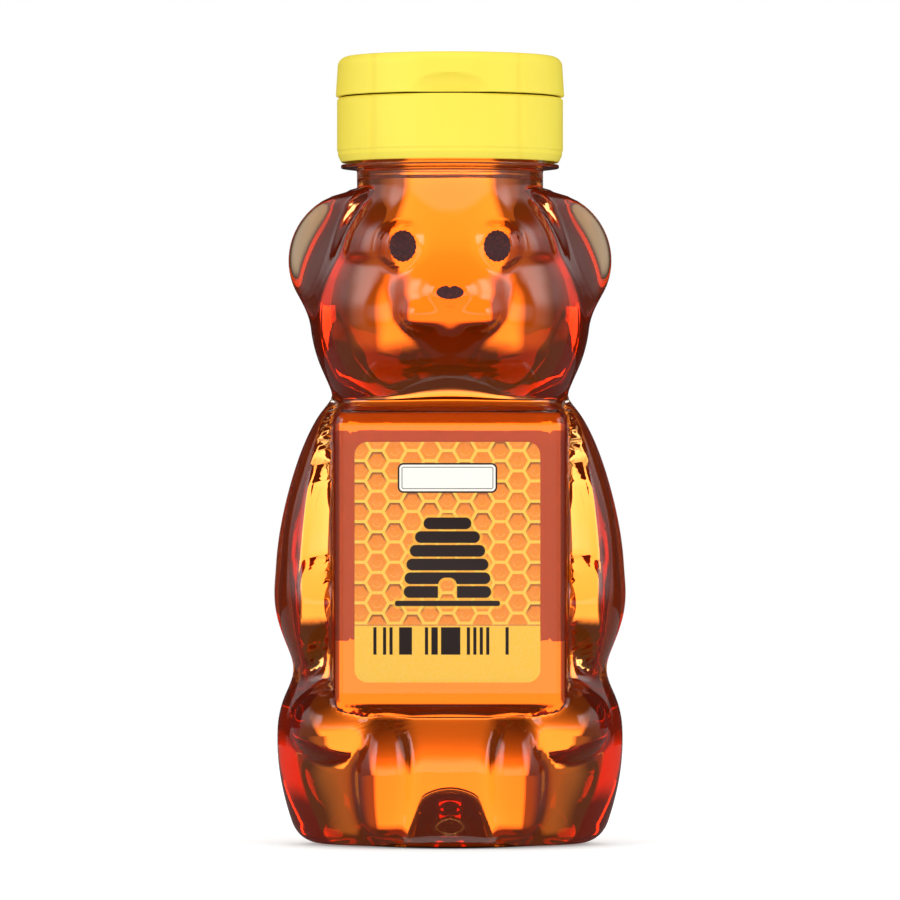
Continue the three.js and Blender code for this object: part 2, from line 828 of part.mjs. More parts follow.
// A printed oval that follows the skin, a gap above it.
function printGeometry(x, z, width, height) {
  const layer = (rise) =>
    Array.from({ length: PRINT_STEPS }, (_, i) => {
      const angle = (-i / PRINT_STEPS) * 2 * Math.PI;
      const edge = frontOf(bear, x + (width / 2) * Math.cos(angle), z + (height / 2) * Math.sin(angle));
      return edge.addScaledVector(outward(bear, edge), rise);
    });
  const centre = (rise) => {
    const middle = frontOf(bear, x, z);
    return middle.addScaledVector(outward(bear, middle), rise);
  };
  const back = layer(touchGap);
  const face = layer(touchGap + printThickness);
  const positions = [...back, ...face, centre(touchGap), centre(touchGap + printThickness)];
  const backMiddle = 2 * PRINT_STEPS;
  const faces = [];
  for (let i = 0; i < PRINT_STEPS; i++) {
    const next = (i + 1) % PRINT_STEPS;
    faces.push(backMiddle, i, next);
    faces.push(backMiddle + 1, PRINT_STEPS + next, PRINT_STEPS + i);
    faces.push(i, PRINT_STEPS + i, PRINT_STEPS + next, i, PRINT_STEPS + next, next);
  }
  return new THREE.BufferGeometry()
    .setAttribute(
      "position",
      new THREE.Float32BufferAttribute(positions.flatMap((point) => point.toArray()), 3),
    )
    .setIndex(faces);
}

// Liner: a flat ring between the rim and the closure's deck, round the closure's seal ring.
function linerGeometry() {
  const hole = boreRadius - sealRingGap + touchGap;
  return turned([
    [hole, linerBottom],
    [sleeveBore - touchGap, linerBottom],
    [sleeveBore - touchGap, linerBottom + linerThickness],
    [hole, linerBottom + linerThickness],
  ]);
}

// Threaded body of the closure: skirt, sleeve with its thread, deck, seal ring and spout.
function closureBodyGeometry() {
  const skirtInner = closureRadius - closureWall;
  const sleeveOuter = sleeveBore + threadSleeveWall;
  const sleeveBottom = skirtBottom + threadSleeveLift;
  const sealOuter = boreRadius - sealRingGap;
  const sealBottom = deckBottom - sealRingDepth;
  const spoutRadius = spoutDiameter / 2;
  const orificeRadius = orificeDiameter / 2;
  const shell = turned([
    [orificeRadius, deckBottom],
    [sealOuter - sealRingWall, deckBottom],
    [sealOuter - sealRingWall, sealBottom],
    [sealOuter, sealBottom],
    [sealOuter, deckBottom],
    [sleeveBore, deckBottom],
    [sleeveBore, sleeveBottom],
    [sleeveOuter, sleeveBottom],
    [sleeveOuter, deckBottom],
    [skirtInner, deckBottom],
    [skirtInner, skirtBottom],
    [closureRadius - skirtChamfer / 2, skirtBottom],
    [closureRadius, skirtBottom + skirtChamfer],
    [closureRadius, deckTop - deckEdge],
    [closureRadius - deckEdge, deckTop],
    [spoutRadius, deckTop],
    [spoutRadius, spoutTop - spoutRound],
    [spoutRadius - spoutRound, spoutTop],
    [orificeRadius, spoutTop],
  ]);
  const thread = threadRidge(
    sleeveBore + rootOverlap,
    neckRadius + threadGap,
    neckThreadFoot - threadPitch / 2,
    threadFootWidth,
    threadCrestWidth,
  );
  return geometryOf(solid(shell).add(solid(thread)));
}

// An egg-shaped solid for cutting.
function eggSolid(halfWidth, halfDepth, halfHeight, place) {
  return new THREE.SphereGeometry(1, ROUND_STEPS / 2, ROUND_STEPS / 4)
    .scale(halfWidth, halfDepth, halfHeight)
    .translate(place.x, place.y, place.z);
}

// Flip lid: a cup over the deck, with a hollow plug, a ring round the spout and a thumb scoop at its front.
function lidGeometry() {
  const topRadius = lidRadius - lidTaper;
  const cup = turned([
    [0, lidBottom],
    [lidRadius, lidBottom],
    [topRadius, lidTop - lidRound],
    [topRadius - lidRound * (1 - Math.SQRT1_2), lidTop - lidRound * (1 - Math.SQRT1_2)],
    [topRadius - lidRound, lidTop],
    [0, lidTop],
  ]);
  const ceiling = lidTop - lidTopThickness;
  const hollow = turned([
    [0, lidBottom - cutOverrun],
    [lidRadius - lidWall, lidBottom - cutOverrun],
    [topRadius - lidWall, ceiling],
    [0, ceiling],
  ]);
  const scoopPlace = new THREE.Vector3(0, -lidRadius, lidBottom);
  const scoop = solid(
    eggSolid(thumbScoopWidth / 2, thumbScoopDepth, thumbScoopHeight, scoopPlace),
  );
  const scoopWall = solid(
    eggSolid(
      thumbScoopWidth / 2 + lidWall,
      thumbScoopDepth + lidWall,
      thumbScoopHeight + lidWall,
      scoopPlace,
    ),
  );
  const reachBottom = spoutTop - plugDepth;
  const plugRadius = orificeDiameter / 2 - plugGap;
  const ringInner = spoutDiameter / 2 + plugGap;
  const tube = (inner, outer) =>
    solid(
      turned([
        [inner, reachBottom],
        [outer, reachBottom],
        [outer, ceiling + rootOverlap],
        [inner, ceiling + rootOverlap],
      ]),
    );
  const cover = solid(cup).subtract(solid(hollow).subtract(scoopWall)).subtract(scoop);
  const plug = tube(plugRadius - plugWall, plugRadius);
  const ring = tube(ringInner, ringInner + spoutRingWall);
  return geometryOf(cover.add(plug).add(ring));
}

// Living hinge: a strap across the seam, thin along the line that bends, with two slots that leave three bands.
function hingeGeometry() {
  const half = hingeHeight / 2;
  const shape = new THREE.Shape()
    .moveTo(0, -half)
    .lineTo(hingeThickness, -half)
    .lineTo(hingeThickness, -hingeThickness)
    .lineTo(hingeFilm, -hingeFilm)
    .lineTo(hingeFilm, hingeFilm)
    .lineTo(hingeThickness, hingeThickness)
    .lineTo(hingeThickness, half)
    .lineTo(0, half);
  const strap = new THREE.ExtrudeGeometry(shape, { depth: hingeWidth, bevelEnabled: false })
    .rotateX(Math.PI / 2)
    .rotateZ(Math.PI / 2)
    .translate(-hingeWidth / 2, 0, 0);
  let hinge = solid(strap);
  for (const side of [-1, 1]) {
    const slot = new THREE.BoxGeometry(hingeSlotWidth, 2 * hingeThickness + cutOverrun, hingeSlotHeight);
    hinge = hinge.subtract(solid(slot.translate((side * hingeSlotSpacing) / 2, 0, 0)));
  }
  return geometryOf(hinge);
}

function finish(color, roughness, metalness = 0) {
  return new THREE.MeshStandardMaterial({ color, roughness, metalness });
}

const clearPlastic = finish(0xf3e3cf, 0.08);
const honeyFinish = finish(0xc8640f, 0.05);
const labelPaper = finish(0xf2b830, 0.5);
const printInk = finish(0x2b1a24, 0.45);
const linerFoam = finish(0xf2efe6, 0.7);
const yellowPlastic = finish(0xfde95a, 0.42);

// A named piece at its place.
function piece(name, geometry, material, x = 0, y = 0, z = 0) {
  const mesh = new THREE.Mesh(geometry, material);
  mesh.name = name;
  mesh.position.set(x, y, z);
  return mesh;
}

const backLabel = piece(
  "back_label",
  uprightPlate(backLabelWidth, backLabelHeight, labelRound, labelThickness),
  labelPaper,
  0,
  panelDepth / 2 + touchGap,
  panelMiddle + backLabelLift,
);
backLabel.rotation.z = Math.PI;

const bottle = new THREE.Group().add(
  piece("bottle", bottleGeometry(), clearPlastic),
  piece("honey", honeyGeometry(), honeyFinish),
  piece(
    "front_label",
    uprightPlate(labelWidth, labelHeight, labelRound, labelThickness),
    labelPaper,
    -labelShift,
    panelFront - touchGap,
    panelMiddle - labelShift,
  ),
  backLabel,
  piece("left_eye", printGeometry(eyeSpacing / 2, eyeHeightOnHead, eyeWidth, eyeHeight), printInk),
  piece("right_eye", printGeometry(-eyeSpacing / 2, eyeHeightOnHead, eyeWidth, eyeHeight), printInk),
  piece(
    "nose_print",
    printGeometry(0, headLevel(noseMiddleShare), nosePrintWidth, nosePrintHeight),
    printInk,
  ),
);

const closure = new THREE.Group().add(
  piece("cap_liner", linerGeometry(), linerFoam),
  piece("closure_body", closureBodyGeometry(), yellowPlastic),
  piece("living_hinge", hingeGeometry(), yellowPlastic, 0, hingeFace, hingeLine.z),
  piece("flip_lid", lidGeometry(), yellowPlastic),
);

export default new THREE.Group().add(bottle, closure);
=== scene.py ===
"""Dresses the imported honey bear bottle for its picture.

The blown bear, its filling, the labels, the prints and the flip-top closure are modelled finely round the
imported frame. All lengths are metres, +Z is up and the bear faces -Y. The origin is the middle of the base.
"""

import logging
import math
from dataclasses import dataclass, field
from enum import Enum
from typing import Protocol, Sequence

import bmesh
import bpy
import numpy as np
from mathutils import Matrix, Vector

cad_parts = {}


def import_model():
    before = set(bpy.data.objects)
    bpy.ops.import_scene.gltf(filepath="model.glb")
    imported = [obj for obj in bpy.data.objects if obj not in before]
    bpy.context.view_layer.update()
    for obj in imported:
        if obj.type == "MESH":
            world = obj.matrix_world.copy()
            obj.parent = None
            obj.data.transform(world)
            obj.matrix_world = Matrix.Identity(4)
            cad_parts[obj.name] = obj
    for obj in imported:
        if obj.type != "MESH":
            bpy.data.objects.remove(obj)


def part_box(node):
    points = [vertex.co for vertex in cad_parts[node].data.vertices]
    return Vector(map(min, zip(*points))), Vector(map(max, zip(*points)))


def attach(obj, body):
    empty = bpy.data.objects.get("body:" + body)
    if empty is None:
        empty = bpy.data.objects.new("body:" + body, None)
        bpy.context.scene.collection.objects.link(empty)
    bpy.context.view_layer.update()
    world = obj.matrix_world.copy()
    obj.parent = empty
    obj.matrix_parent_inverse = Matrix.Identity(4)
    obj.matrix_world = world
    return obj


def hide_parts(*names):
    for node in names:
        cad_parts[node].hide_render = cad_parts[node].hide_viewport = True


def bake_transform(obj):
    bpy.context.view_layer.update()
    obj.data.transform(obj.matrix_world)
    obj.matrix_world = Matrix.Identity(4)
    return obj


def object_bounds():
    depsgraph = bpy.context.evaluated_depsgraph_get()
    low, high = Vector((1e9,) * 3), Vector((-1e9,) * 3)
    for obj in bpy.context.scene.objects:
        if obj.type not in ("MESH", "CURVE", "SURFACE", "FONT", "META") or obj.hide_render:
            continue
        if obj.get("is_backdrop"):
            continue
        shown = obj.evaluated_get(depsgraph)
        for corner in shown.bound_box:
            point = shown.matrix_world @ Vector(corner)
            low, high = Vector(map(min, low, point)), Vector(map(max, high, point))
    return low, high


LOG = logging.getLogger("honey_bear")
FRONT = -math.pi / 2
MERGE_DISTANCE = 1e-7
NO_LENGTH = 1e-9
SAME_PLACE = 1e-5
ROOT_3 = math.sqrt(3)
THREAD_STEPS = 72
SHORTEST = 0.0001

Pair = tuple[float, float]
Colour = tuple[float, float, float]
Point = tuple[float, float, float]
Outline = Sequence[Pair]


class Body(Enum):
    """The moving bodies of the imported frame."""

    BEAR = "bear"
    LINER = "liner"
    CLOSURE = "closure"
    LID = "lid"


class Slot(Enum):
    """The record's material slots."""

    CLEAR_PLASTIC = "clear_plastic"
    HONEY = "honey"
    LABEL_FILM = "label_film"
    PRINT_INK = "print_ink"
    LINER_FOAM = "liner_foam"
    YELLOW_PLASTIC = "yellow_plastic"


# Shader maths


class Sock:
    """An output in a node tree. Python arithmetic on it adds Math nodes."""

    def __init__(self, desk: "Desk", socket: bpy.types.NodeSocket) -> None:
        """Keeps the tree's desk and the socket."""
        self.desk = desk
        self.socket = socket

    def math(self, operation: str, *values: "Sock | float") -> "Sock":
        """Adds a Math node.

        Args:
            operation: The node's operation.
            values: Its inputs in order, links or numbers.

        Returns:
            The node's result.
        """
        node = self.desk.add("ShaderNodeMath", {"operation": operation}, dict(enumerate(values)))
        return Sock(self.desk, node.outputs[0])

    def __add__(self, other: "Sock | float") -> "Sock":
        """Sum."""
        return self.math("ADD", self, other)

    __radd__ = __add__

    def __sub__(self, other: "Sock | float") -> "Sock":
        """Difference."""
        return self.math("SUBTRACT", self, other)

    def __rsub__(self, other: float) -> "Sock":
        """Difference, this one taken away."""
        return self.math("SUBTRACT", other, self)

    def __mul__(self, other: "Sock | float") -> "Sock":
        """Product."""
        return self.math("MULTIPLY", self, other)

    __rmul__ = __mul__

    def __truediv__(self, other: "Sock | float") -> "Sock":
        """Quotient."""
        return self.math("DIVIDE", self, other)

    def __rtruediv__(self, other: float) -> "Sock":
        """Quotient with this one below."""
        return self.math("DIVIDE", other, self)

    def __abs__(self) -> "Sock":
        """Size without its sign."""
        return self.math("ABSOLUTE", self)

    def above(self, edge: "Sock | float") -> "Sock":
        """One where the value is over the edge."""
        return self.math("GREATER_THAN", self, edge)

    def below(self, edge: "Sock | float") -> "Sock":
        """One where the value is under the edge."""
        return self.math("LESS_THAN", self, edge)

    def least(self, other: "Sock | float") -> "Sock":
        """The smaller of the two."""
        return self.math("MINIMUM", self, other)

    def most(self, other: "Sock | float") -> "Sock":
        """The larger of the two."""
        return self.math("MAXIMUM", self, other)

    def root(self) -> "Sock":
        """Square root."""
        return self.math("SQRT", self)

    def floor(self) -> "Sock":
        """Whole number below."""
        return self.math("FLOOR", self)

    def wrapped(self, period: float) -> "Sock":
        """Offset from the nearest whole multiple of the period."""
        return self.math("WRAP", self, period / 2, -period / 2)

    def rising(self, low: float, high: float) -> "Sock":
        """Soft step.

        Args:
            low: Where the step starts to rise from zero.
            high: Where it reaches one. Under low, the step falls.

        Returns:
            The step's value.
        """
        settings = {"interpolation_type": "SMOOTHSTEP"}
        node = self.desk.add("ShaderNodeMapRange", settings, {0: self, 1: low, 2: high, 3: 0.0, 4: 1.0})
        return Sock(self.desk, node.outputs[0])


class Desk:
    """Builds the node tree of one material or world."""

    def __init__(self, tree: bpy.types.NodeTree) -> None:
        """Empties the tree and keeps it."""
        self.tree = tree
        tree.nodes.clear()

    def add(self, kind: str, settings: dict | None = None, inputs: dict | None = None) -> bpy.types.Node:
        """Adds a node.

        Args:
            kind: The node's type.
            settings: Its properties, and the stops of a colour ramp as (place, colour) pairs under "stops".
            inputs: Its sockets by name or number, each with a value or a Sock to link.

        Returns:
            The new node.
        """
        node = self.tree.nodes.new(kind)
        for name, value in (settings or {}).items():
            if name == "stops":
                self.set_stops(node.color_ramp, value)
            else:
                setattr(node, name, value)
        for key, value in (inputs or {}).items():
            if isinstance(value, Sock):
                self.tree.links.new(value.socket, node.inputs[key])
            elif value is not None:
                node.inputs[key].default_value = value
        return node

    @staticmethod
    def set_stops(ramp: bpy.types.ColorRamp, stops: Sequence[tuple[float, tuple]]) -> None:
        """Gives a colour ramp its stops."""
        while len(ramp.elements) < len(stops):
            ramp.elements.new(1.0)
        for element, (place, colour) in zip(ramp.elements, stops):
            element.position = place
            element.color = (*colour, 1.0)

    def value(self, node: bpy.types.Node, output: str | int = 0) -> Sock:
        """An output of a node as a Sock."""
        return Sock(self, node.outputs[output])

    def place(self) -> tuple[Sock, Sock, Sock]:
        """The three Object coordinates in metres."""
        coordinates = self.add("ShaderNodeTexCoord")
        parts = self.add("ShaderNodeSeparateXYZ", {}, {0: self.value(coordinates, "Object")})
        return self.value(parts, 0), self.value(parts, 1), self.value(parts, 2)

    def object_vector(self) -> Sock:
        """The Object coordinates as a vector."""
        return self.value(self.add("ShaderNodeTexCoord"), "Object")

    def vector(self, x: Sock | float, y: Sock | float, z: Sock | float) -> Sock:
        """A vector of three values."""
        return self.value(self.add("ShaderNodeCombineXYZ", {}, {0: x, 1: y, 2: z}))

    def stretched(self, vector: Sock, by: Point) -> Sock:
        """A vector with each of its parts multiplied."""
        return self.value(self.add("ShaderNodeVectorMath", {"operation": "MULTIPLY"}, {0: vector, 1: by}))

    def noise(self, vector: Sock, scale: float, detail: float = 2.0, roughness: float = 0.5) -> Sock:
        """Noise.

        Args:
            vector: Where it is read.
            scale: Waves a metre.
            detail: Octaves.
            roughness: Weight of the finer octaves.

        Returns:
            Its value, about 0.5 on average.
        """
        inputs = {"Vector": vector, "Scale": scale, "Detail": detail, "Roughness": roughness}
        return self.value(self.add("ShaderNodeTexNoise", {}, inputs), 0)

    def blend(self, share: Sock | float, first: Sock | tuple, second: Sock | tuple, mode: str = "MIX") -> Sock:
        """Mixes two colours.

        Args:
            share: Weight of the second colour.
            first: A linear colour, or a Sock.
            second: Another one.
            mode: The Mix node's blend type.

        Returns:
            The mixed colour.
        """
        colours = [c if isinstance(c, Sock) else (*c, 1.0) for c in (first, second)]
        settings = {"data_type": "RGBA", "blend_type": mode}
        node = self.add("ShaderNodeMix", settings, {0: share, 6: colours[0], 7: colours[1]})
        return self.value(node, 2)

    def bump(self, height: Sock, depth: float, strength: float = 1.0) -> Sock:
        """A normal from a height.

        Args:
            height: Height in units of depth.
            depth: Metres that a height of one stands for.
            strength: Strength of the effect.

        Returns:
            The bent normal.
        """
        inputs = {"Strength": strength, "Distance": depth, "Height": height}
        return self.value(self.add("ShaderNodeBump", {}, inputs))


def linear(red: int, green: int, blue: int) -> Colour:
    """A screen colour of 0 to 255 as a linear one."""

    def channel(value: int) -> float:
        share = value / 255
        return share / 12.92 if share <= 0.04045 else ((share + 0.055) / 1.055) ** 2.4

    return channel(red), channel(green), channel(blue)


def new_material(name: str) -> tuple[bpy.types.Material, Desk]:
    """A material with an empty node tree, and the desk for it."""
    material = bpy.data.materials.new(name)
    material.use_nodes = True
    return material, Desk(material.node_tree)


def close_material(desk: Desk, surface: dict, volume: bpy.types.Node | None = None) -> None:
    """Ends a material's tree.

    Args:
        desk: The tree's desk.
        surface: Sockets of the surface's shader, each with a value or a link.
        volume: The shader inside, where there is one.
    """
    inputs = {"Surface": desk.value(desk.add("ShaderNodeBsdfPrincipled", {}, surface))}
    if volume:
        inputs["Volume"] = desk.value(volume)
    desk.add("ShaderNodeOutputMaterial", {}, inputs)


def clear_surface(ior: float) -> dict:
    """Sockets of a clear surface with the given index of refraction that shows no reflection."""
    return {
        "Base Color": (1.0, 1.0, 1.0, 1.0),
        "Roughness": 0.0,
        "IOR": ior,
        "Specular Tint": (0.0, 0.0, 0.0, 1.0),
        "Transmission Weight": 1.0,
    }


# Finishes


@dataclass(frozen=True)
class ClearPlastic:
    """Blown clear plastic, glossy, with the faint waves and machining lines of its mould."""

    tint: Colour = (1.0, 0.985, 0.955)
    ior: float = 1.57
    wave_scale: float = 90.0
    wave_depth: float = 0.00006
    line_pitch: float = 0.00085
    line_depth: float = 0.000004
    line_stretch: float = 0.12
    speck_scale: float = 900.0
    speck_roughness: float = 0.25
    roughness: float = 0.015

    def outer(self) -> bpy.types.Material:
        """The side that the air touches."""
        material, desk = new_material("clear_plastic_outer")
        where = desk.object_vector()
        waves = desk.noise(where, self.wave_scale, 1.5)
        along = desk.stretched(where, (self.line_stretch, self.line_stretch, 1.0))
        lines = desk.noise(along, 1 / self.line_pitch, 2.0)
        height = waves * self.wave_depth + lines * self.line_depth
        specks = desk.noise(where, self.speck_scale, 3.0, 0.7).rising(0.72, 0.78)
        surface = {
            "Base Color": (*self.tint, 1.0),
            "Roughness": self.roughness + specks * self.speck_roughness,
            "IOR": self.ior,
            "Transmission Weight": 1.0,
            "Normal": desk.bump(height, 1.0),
        }
        close_material(desk, surface)
        return material

    def wetted(self) -> bpy.types.Material:
        """The side that the honey touches, which reflects next to nothing."""
        material, desk = new_material("clear_plastic_wetted")
        close_material(desk, clear_surface(self.ior))
        return material


@dataclass(frozen=True)
class HoneyFilling:
    """Clear amber honey, which takes out blue within millimetres and green within centimetres.

    A faint glow stands for the light that it scatters.
    """

    ior: float = 1.49
    absorbed_per_metre: float = 130.0
    kept: Colour = (0.992, 0.60, 0.0)
    glow: Colour = (0.018, 0.0036, 0.0003)

    def material(self) -> bpy.types.Material:
        """The filling's surface and its volume."""
        material, desk = new_material("honey_filling")
        glow = {"Emission Color": (*self.glow, 1.0), "Emission Strength": 1.0}
        inside = {"Color": (*self.kept, 1.0), "Density": self.absorbed_per_metre}
        volume = desk.add("ShaderNodeVolumeAbsorption", {}, inside)
        close_material(desk, clear_surface(self.ior) | glow, volume)
        return material


@dataclass(frozen=True)
class MouldedYellow:
    """Opaque yellow moulded plastic, satin, with fine flow marks."""

    colour: Colour = linear(254, 236, 84)
    deep_tone_and_mark_shade: Colour = linear(250, 222, 66)
    ior: float = 1.5
    roughness: float = 0.38
    flow_scale: float = 60.0
    flow_stretch: float = 0.35
    grain_scale: float = 2600.0
    grain_depth: float = 0.000006
    mark_half: float = 0.0011
    mark_depth: float = 0.00012

    def material(self, name: str, marks: tuple[float, ...] = ()) -> bpy.types.Material:
        """The plastic.

        Args:
            name: The material's name.
            marks: Places in x of faint upright mould marks on the front, each a shallow dip whose colour is
                darkened with painted shade.

        Returns:
            The material.
        """
        material, desk = new_material(name)
        where = desk.object_vector()
        x, y, _ = desk.place()
        along = desk.stretched(where, (1.0, 1.0, self.flow_stretch))
        flow = desk.noise(along, self.flow_scale, 3.0).rising(0.3, 0.8)
        colour = desk.blend(flow * 0.55, self.colour, self.deep_tone_and_mark_shade)
        height = desk.noise(where, self.grain_scale, 2.0) * self.grain_depth
        for mark in marks:
            # Each mark dips the bump and darkens the colour towards the deeper yellow as painted shade in the
            # dip; the flow tone above is the plastic's own.
            mark_dip_and_shade = (1.0 - abs(x - mark).rising(0.0, self.mark_half)) * y.below(0.0)
            colour = desk.blend(mark_dip_and_shade * 0.35, colour, self.deep_tone_and_mark_shade)
            height = height - mark_dip_and_shade * self.mark_depth
        surface = {
            "Base Color": colour,
            "Roughness": self.roughness + flow * 0.06,
            "IOR": self.ior,
            "Normal": desk.bump(height, 1.0),
        }
        close_material(desk, surface)
        return material


@dataclass(frozen=True)
class PrintInk:
    """Dark printing ink with a mottled edge to its cover."""

    colour: Colour = linear(58, 26, 30)
    thin: Colour = linear(96, 40, 34)
    mottle_scale: float = 2600.0
    mottle_depth: float = 0.00003

    def material(self) -> bpy.types.Material:
        """The ink."""
        material, desk = new_material("dark_print_ink")
        cover = desk.noise(desk.object_vector(), self.mottle_scale, 3.0, 0.6).rising(0.42, 0.72)
        surface = {
            "Base Color": desk.blend(cover, self.colour, self.thin),
            "Roughness": 0.35 + cover * 0.2,
            "Normal": desk.bump(cover, self.mottle_depth),
        }
        close_material(desk, surface)
        return material


@dataclass(frozen=True)
class LinerFoam:
    """White foamed liner."""

    colour: Colour = linear(240, 236, 222)
    hollow: Colour = linear(214, 206, 184)
    cell_scale: float = 2400.0
    cell_depth: float = 0.00005

    def material(self) -> bpy.types.Material:
        """The foam with its fine cells."""
        material, desk = new_material("liner_foam")
        inputs = {"Vector": desk.object_vector(), "Scale": self.cell_scale}
        cells = desk.value(desk.add("ShaderNodeTexVoronoi", {"feature": "F1"}, inputs), 0)
        surface = {
            "Base Color": desk.blend(cells * 0.3, self.colour, self.hollow),
            "Roughness": 0.75,
            "Normal": desk.bump(cells, self.cell_depth),
        }
        close_material(desk, surface)
        return material


def box_distance(u: Sock, v: Sock, centre: Pair, half: Pair, corner: float) -> Sock:
    """Distance to a rounded box on a label, negative inside.

    Args:
        u: Across the label from its middle.
        v: Up the label from its middle.
        centre: Middle of the box.
        half: Its half sizes.
        corner: Its corner radius.

    Returns:
        The distance in metres.
    """
    past_u = abs(u - centre[0]) - (half[0] - corner)
    past_v = abs(v - centre[1]) - (half[1] - corner)
    out_u = past_u.most(0.0)
    out_v = past_v.most(0.0)
    return (out_u * out_u + out_v * out_v).root() + past_u.most(past_v).least(0.0) - corner


def ink_line(distance: Sock, core: float, edge: float) -> Sock:
    """Cover of a line where the distance is near zero, full up to its core and none past its edge."""
    return 1.0 - abs(distance).rising(core, edge)


@dataclass(frozen=True)
class CombPrint:
    """A printed comb of flat-topped six-sided cells, each shaded at its top and lit at its foot."""

    wall: Colour = linear(249, 198, 76)
    cell: Colour = linear(243, 142, 44)
    upper: Colour = linear(236, 116, 28)
    shade: Colour = linear(120, 52, 22)
    gleam: Colour = linear(253, 190, 92)
    cell_height: float = 0.0040
    wall_share: float = 0.07
    gleam_share: float = 0.24

    def colour(self, desk: Desk, u: Sock, v: Sock) -> Sock:
        """The comb's colour at a place across and up the label."""
        tall = self.cell_height
        wide = tall * ROOT_3
        first = (u.wrapped(wide), v.wrapped(tall))
        second = ((u + wide / 2).wrapped(wide), (v + tall / 2).wrapped(tall))
        first_square, second_square = (a * a + b * b for a, b in (first, second))
        near = first_square.below(second_square)
        across, up = (b + (a - b) * near for a, b in zip(first, second))
        rim = abs(up).most(abs(across) * (ROOT_3 / 2) + abs(up) * 0.5) / tall
        inner_rim = 0.5 - self.wall_share
        seed = desk.vector((u - across) * (2 / wide), (v - up) * (2 / tall), 0.0)
        white = desk.add("ShaderNodeTexWhiteNoise", {"noise_dimensions": "3D"}, {"Vector": seed})
        chance = desk.value(white).rising(0.35, 0.75)
        upper = up.rising(-0.1 * tall, 0.3 * tall)
        dark = rim.rising(0.27, 0.40) * upper * chance
        ring = ink_line((across * across + up * up).root() / tall - self.gleam_share, 0.0, 0.035)
        gleam = ring * (0.0 - up).rising(0.05 * tall, 0.16 * tall)
        colour = desk.blend(upper * 0.35, self.cell, self.upper)
        colour = desk.blend(dark * 0.85, colour, self.shade)
        colour = desk.blend(gleam * 0.5, colour, self.gleam)
        return desk.blend(rim.rising(inner_rim - 0.02, inner_rim + 0.01), colour, self.wall)


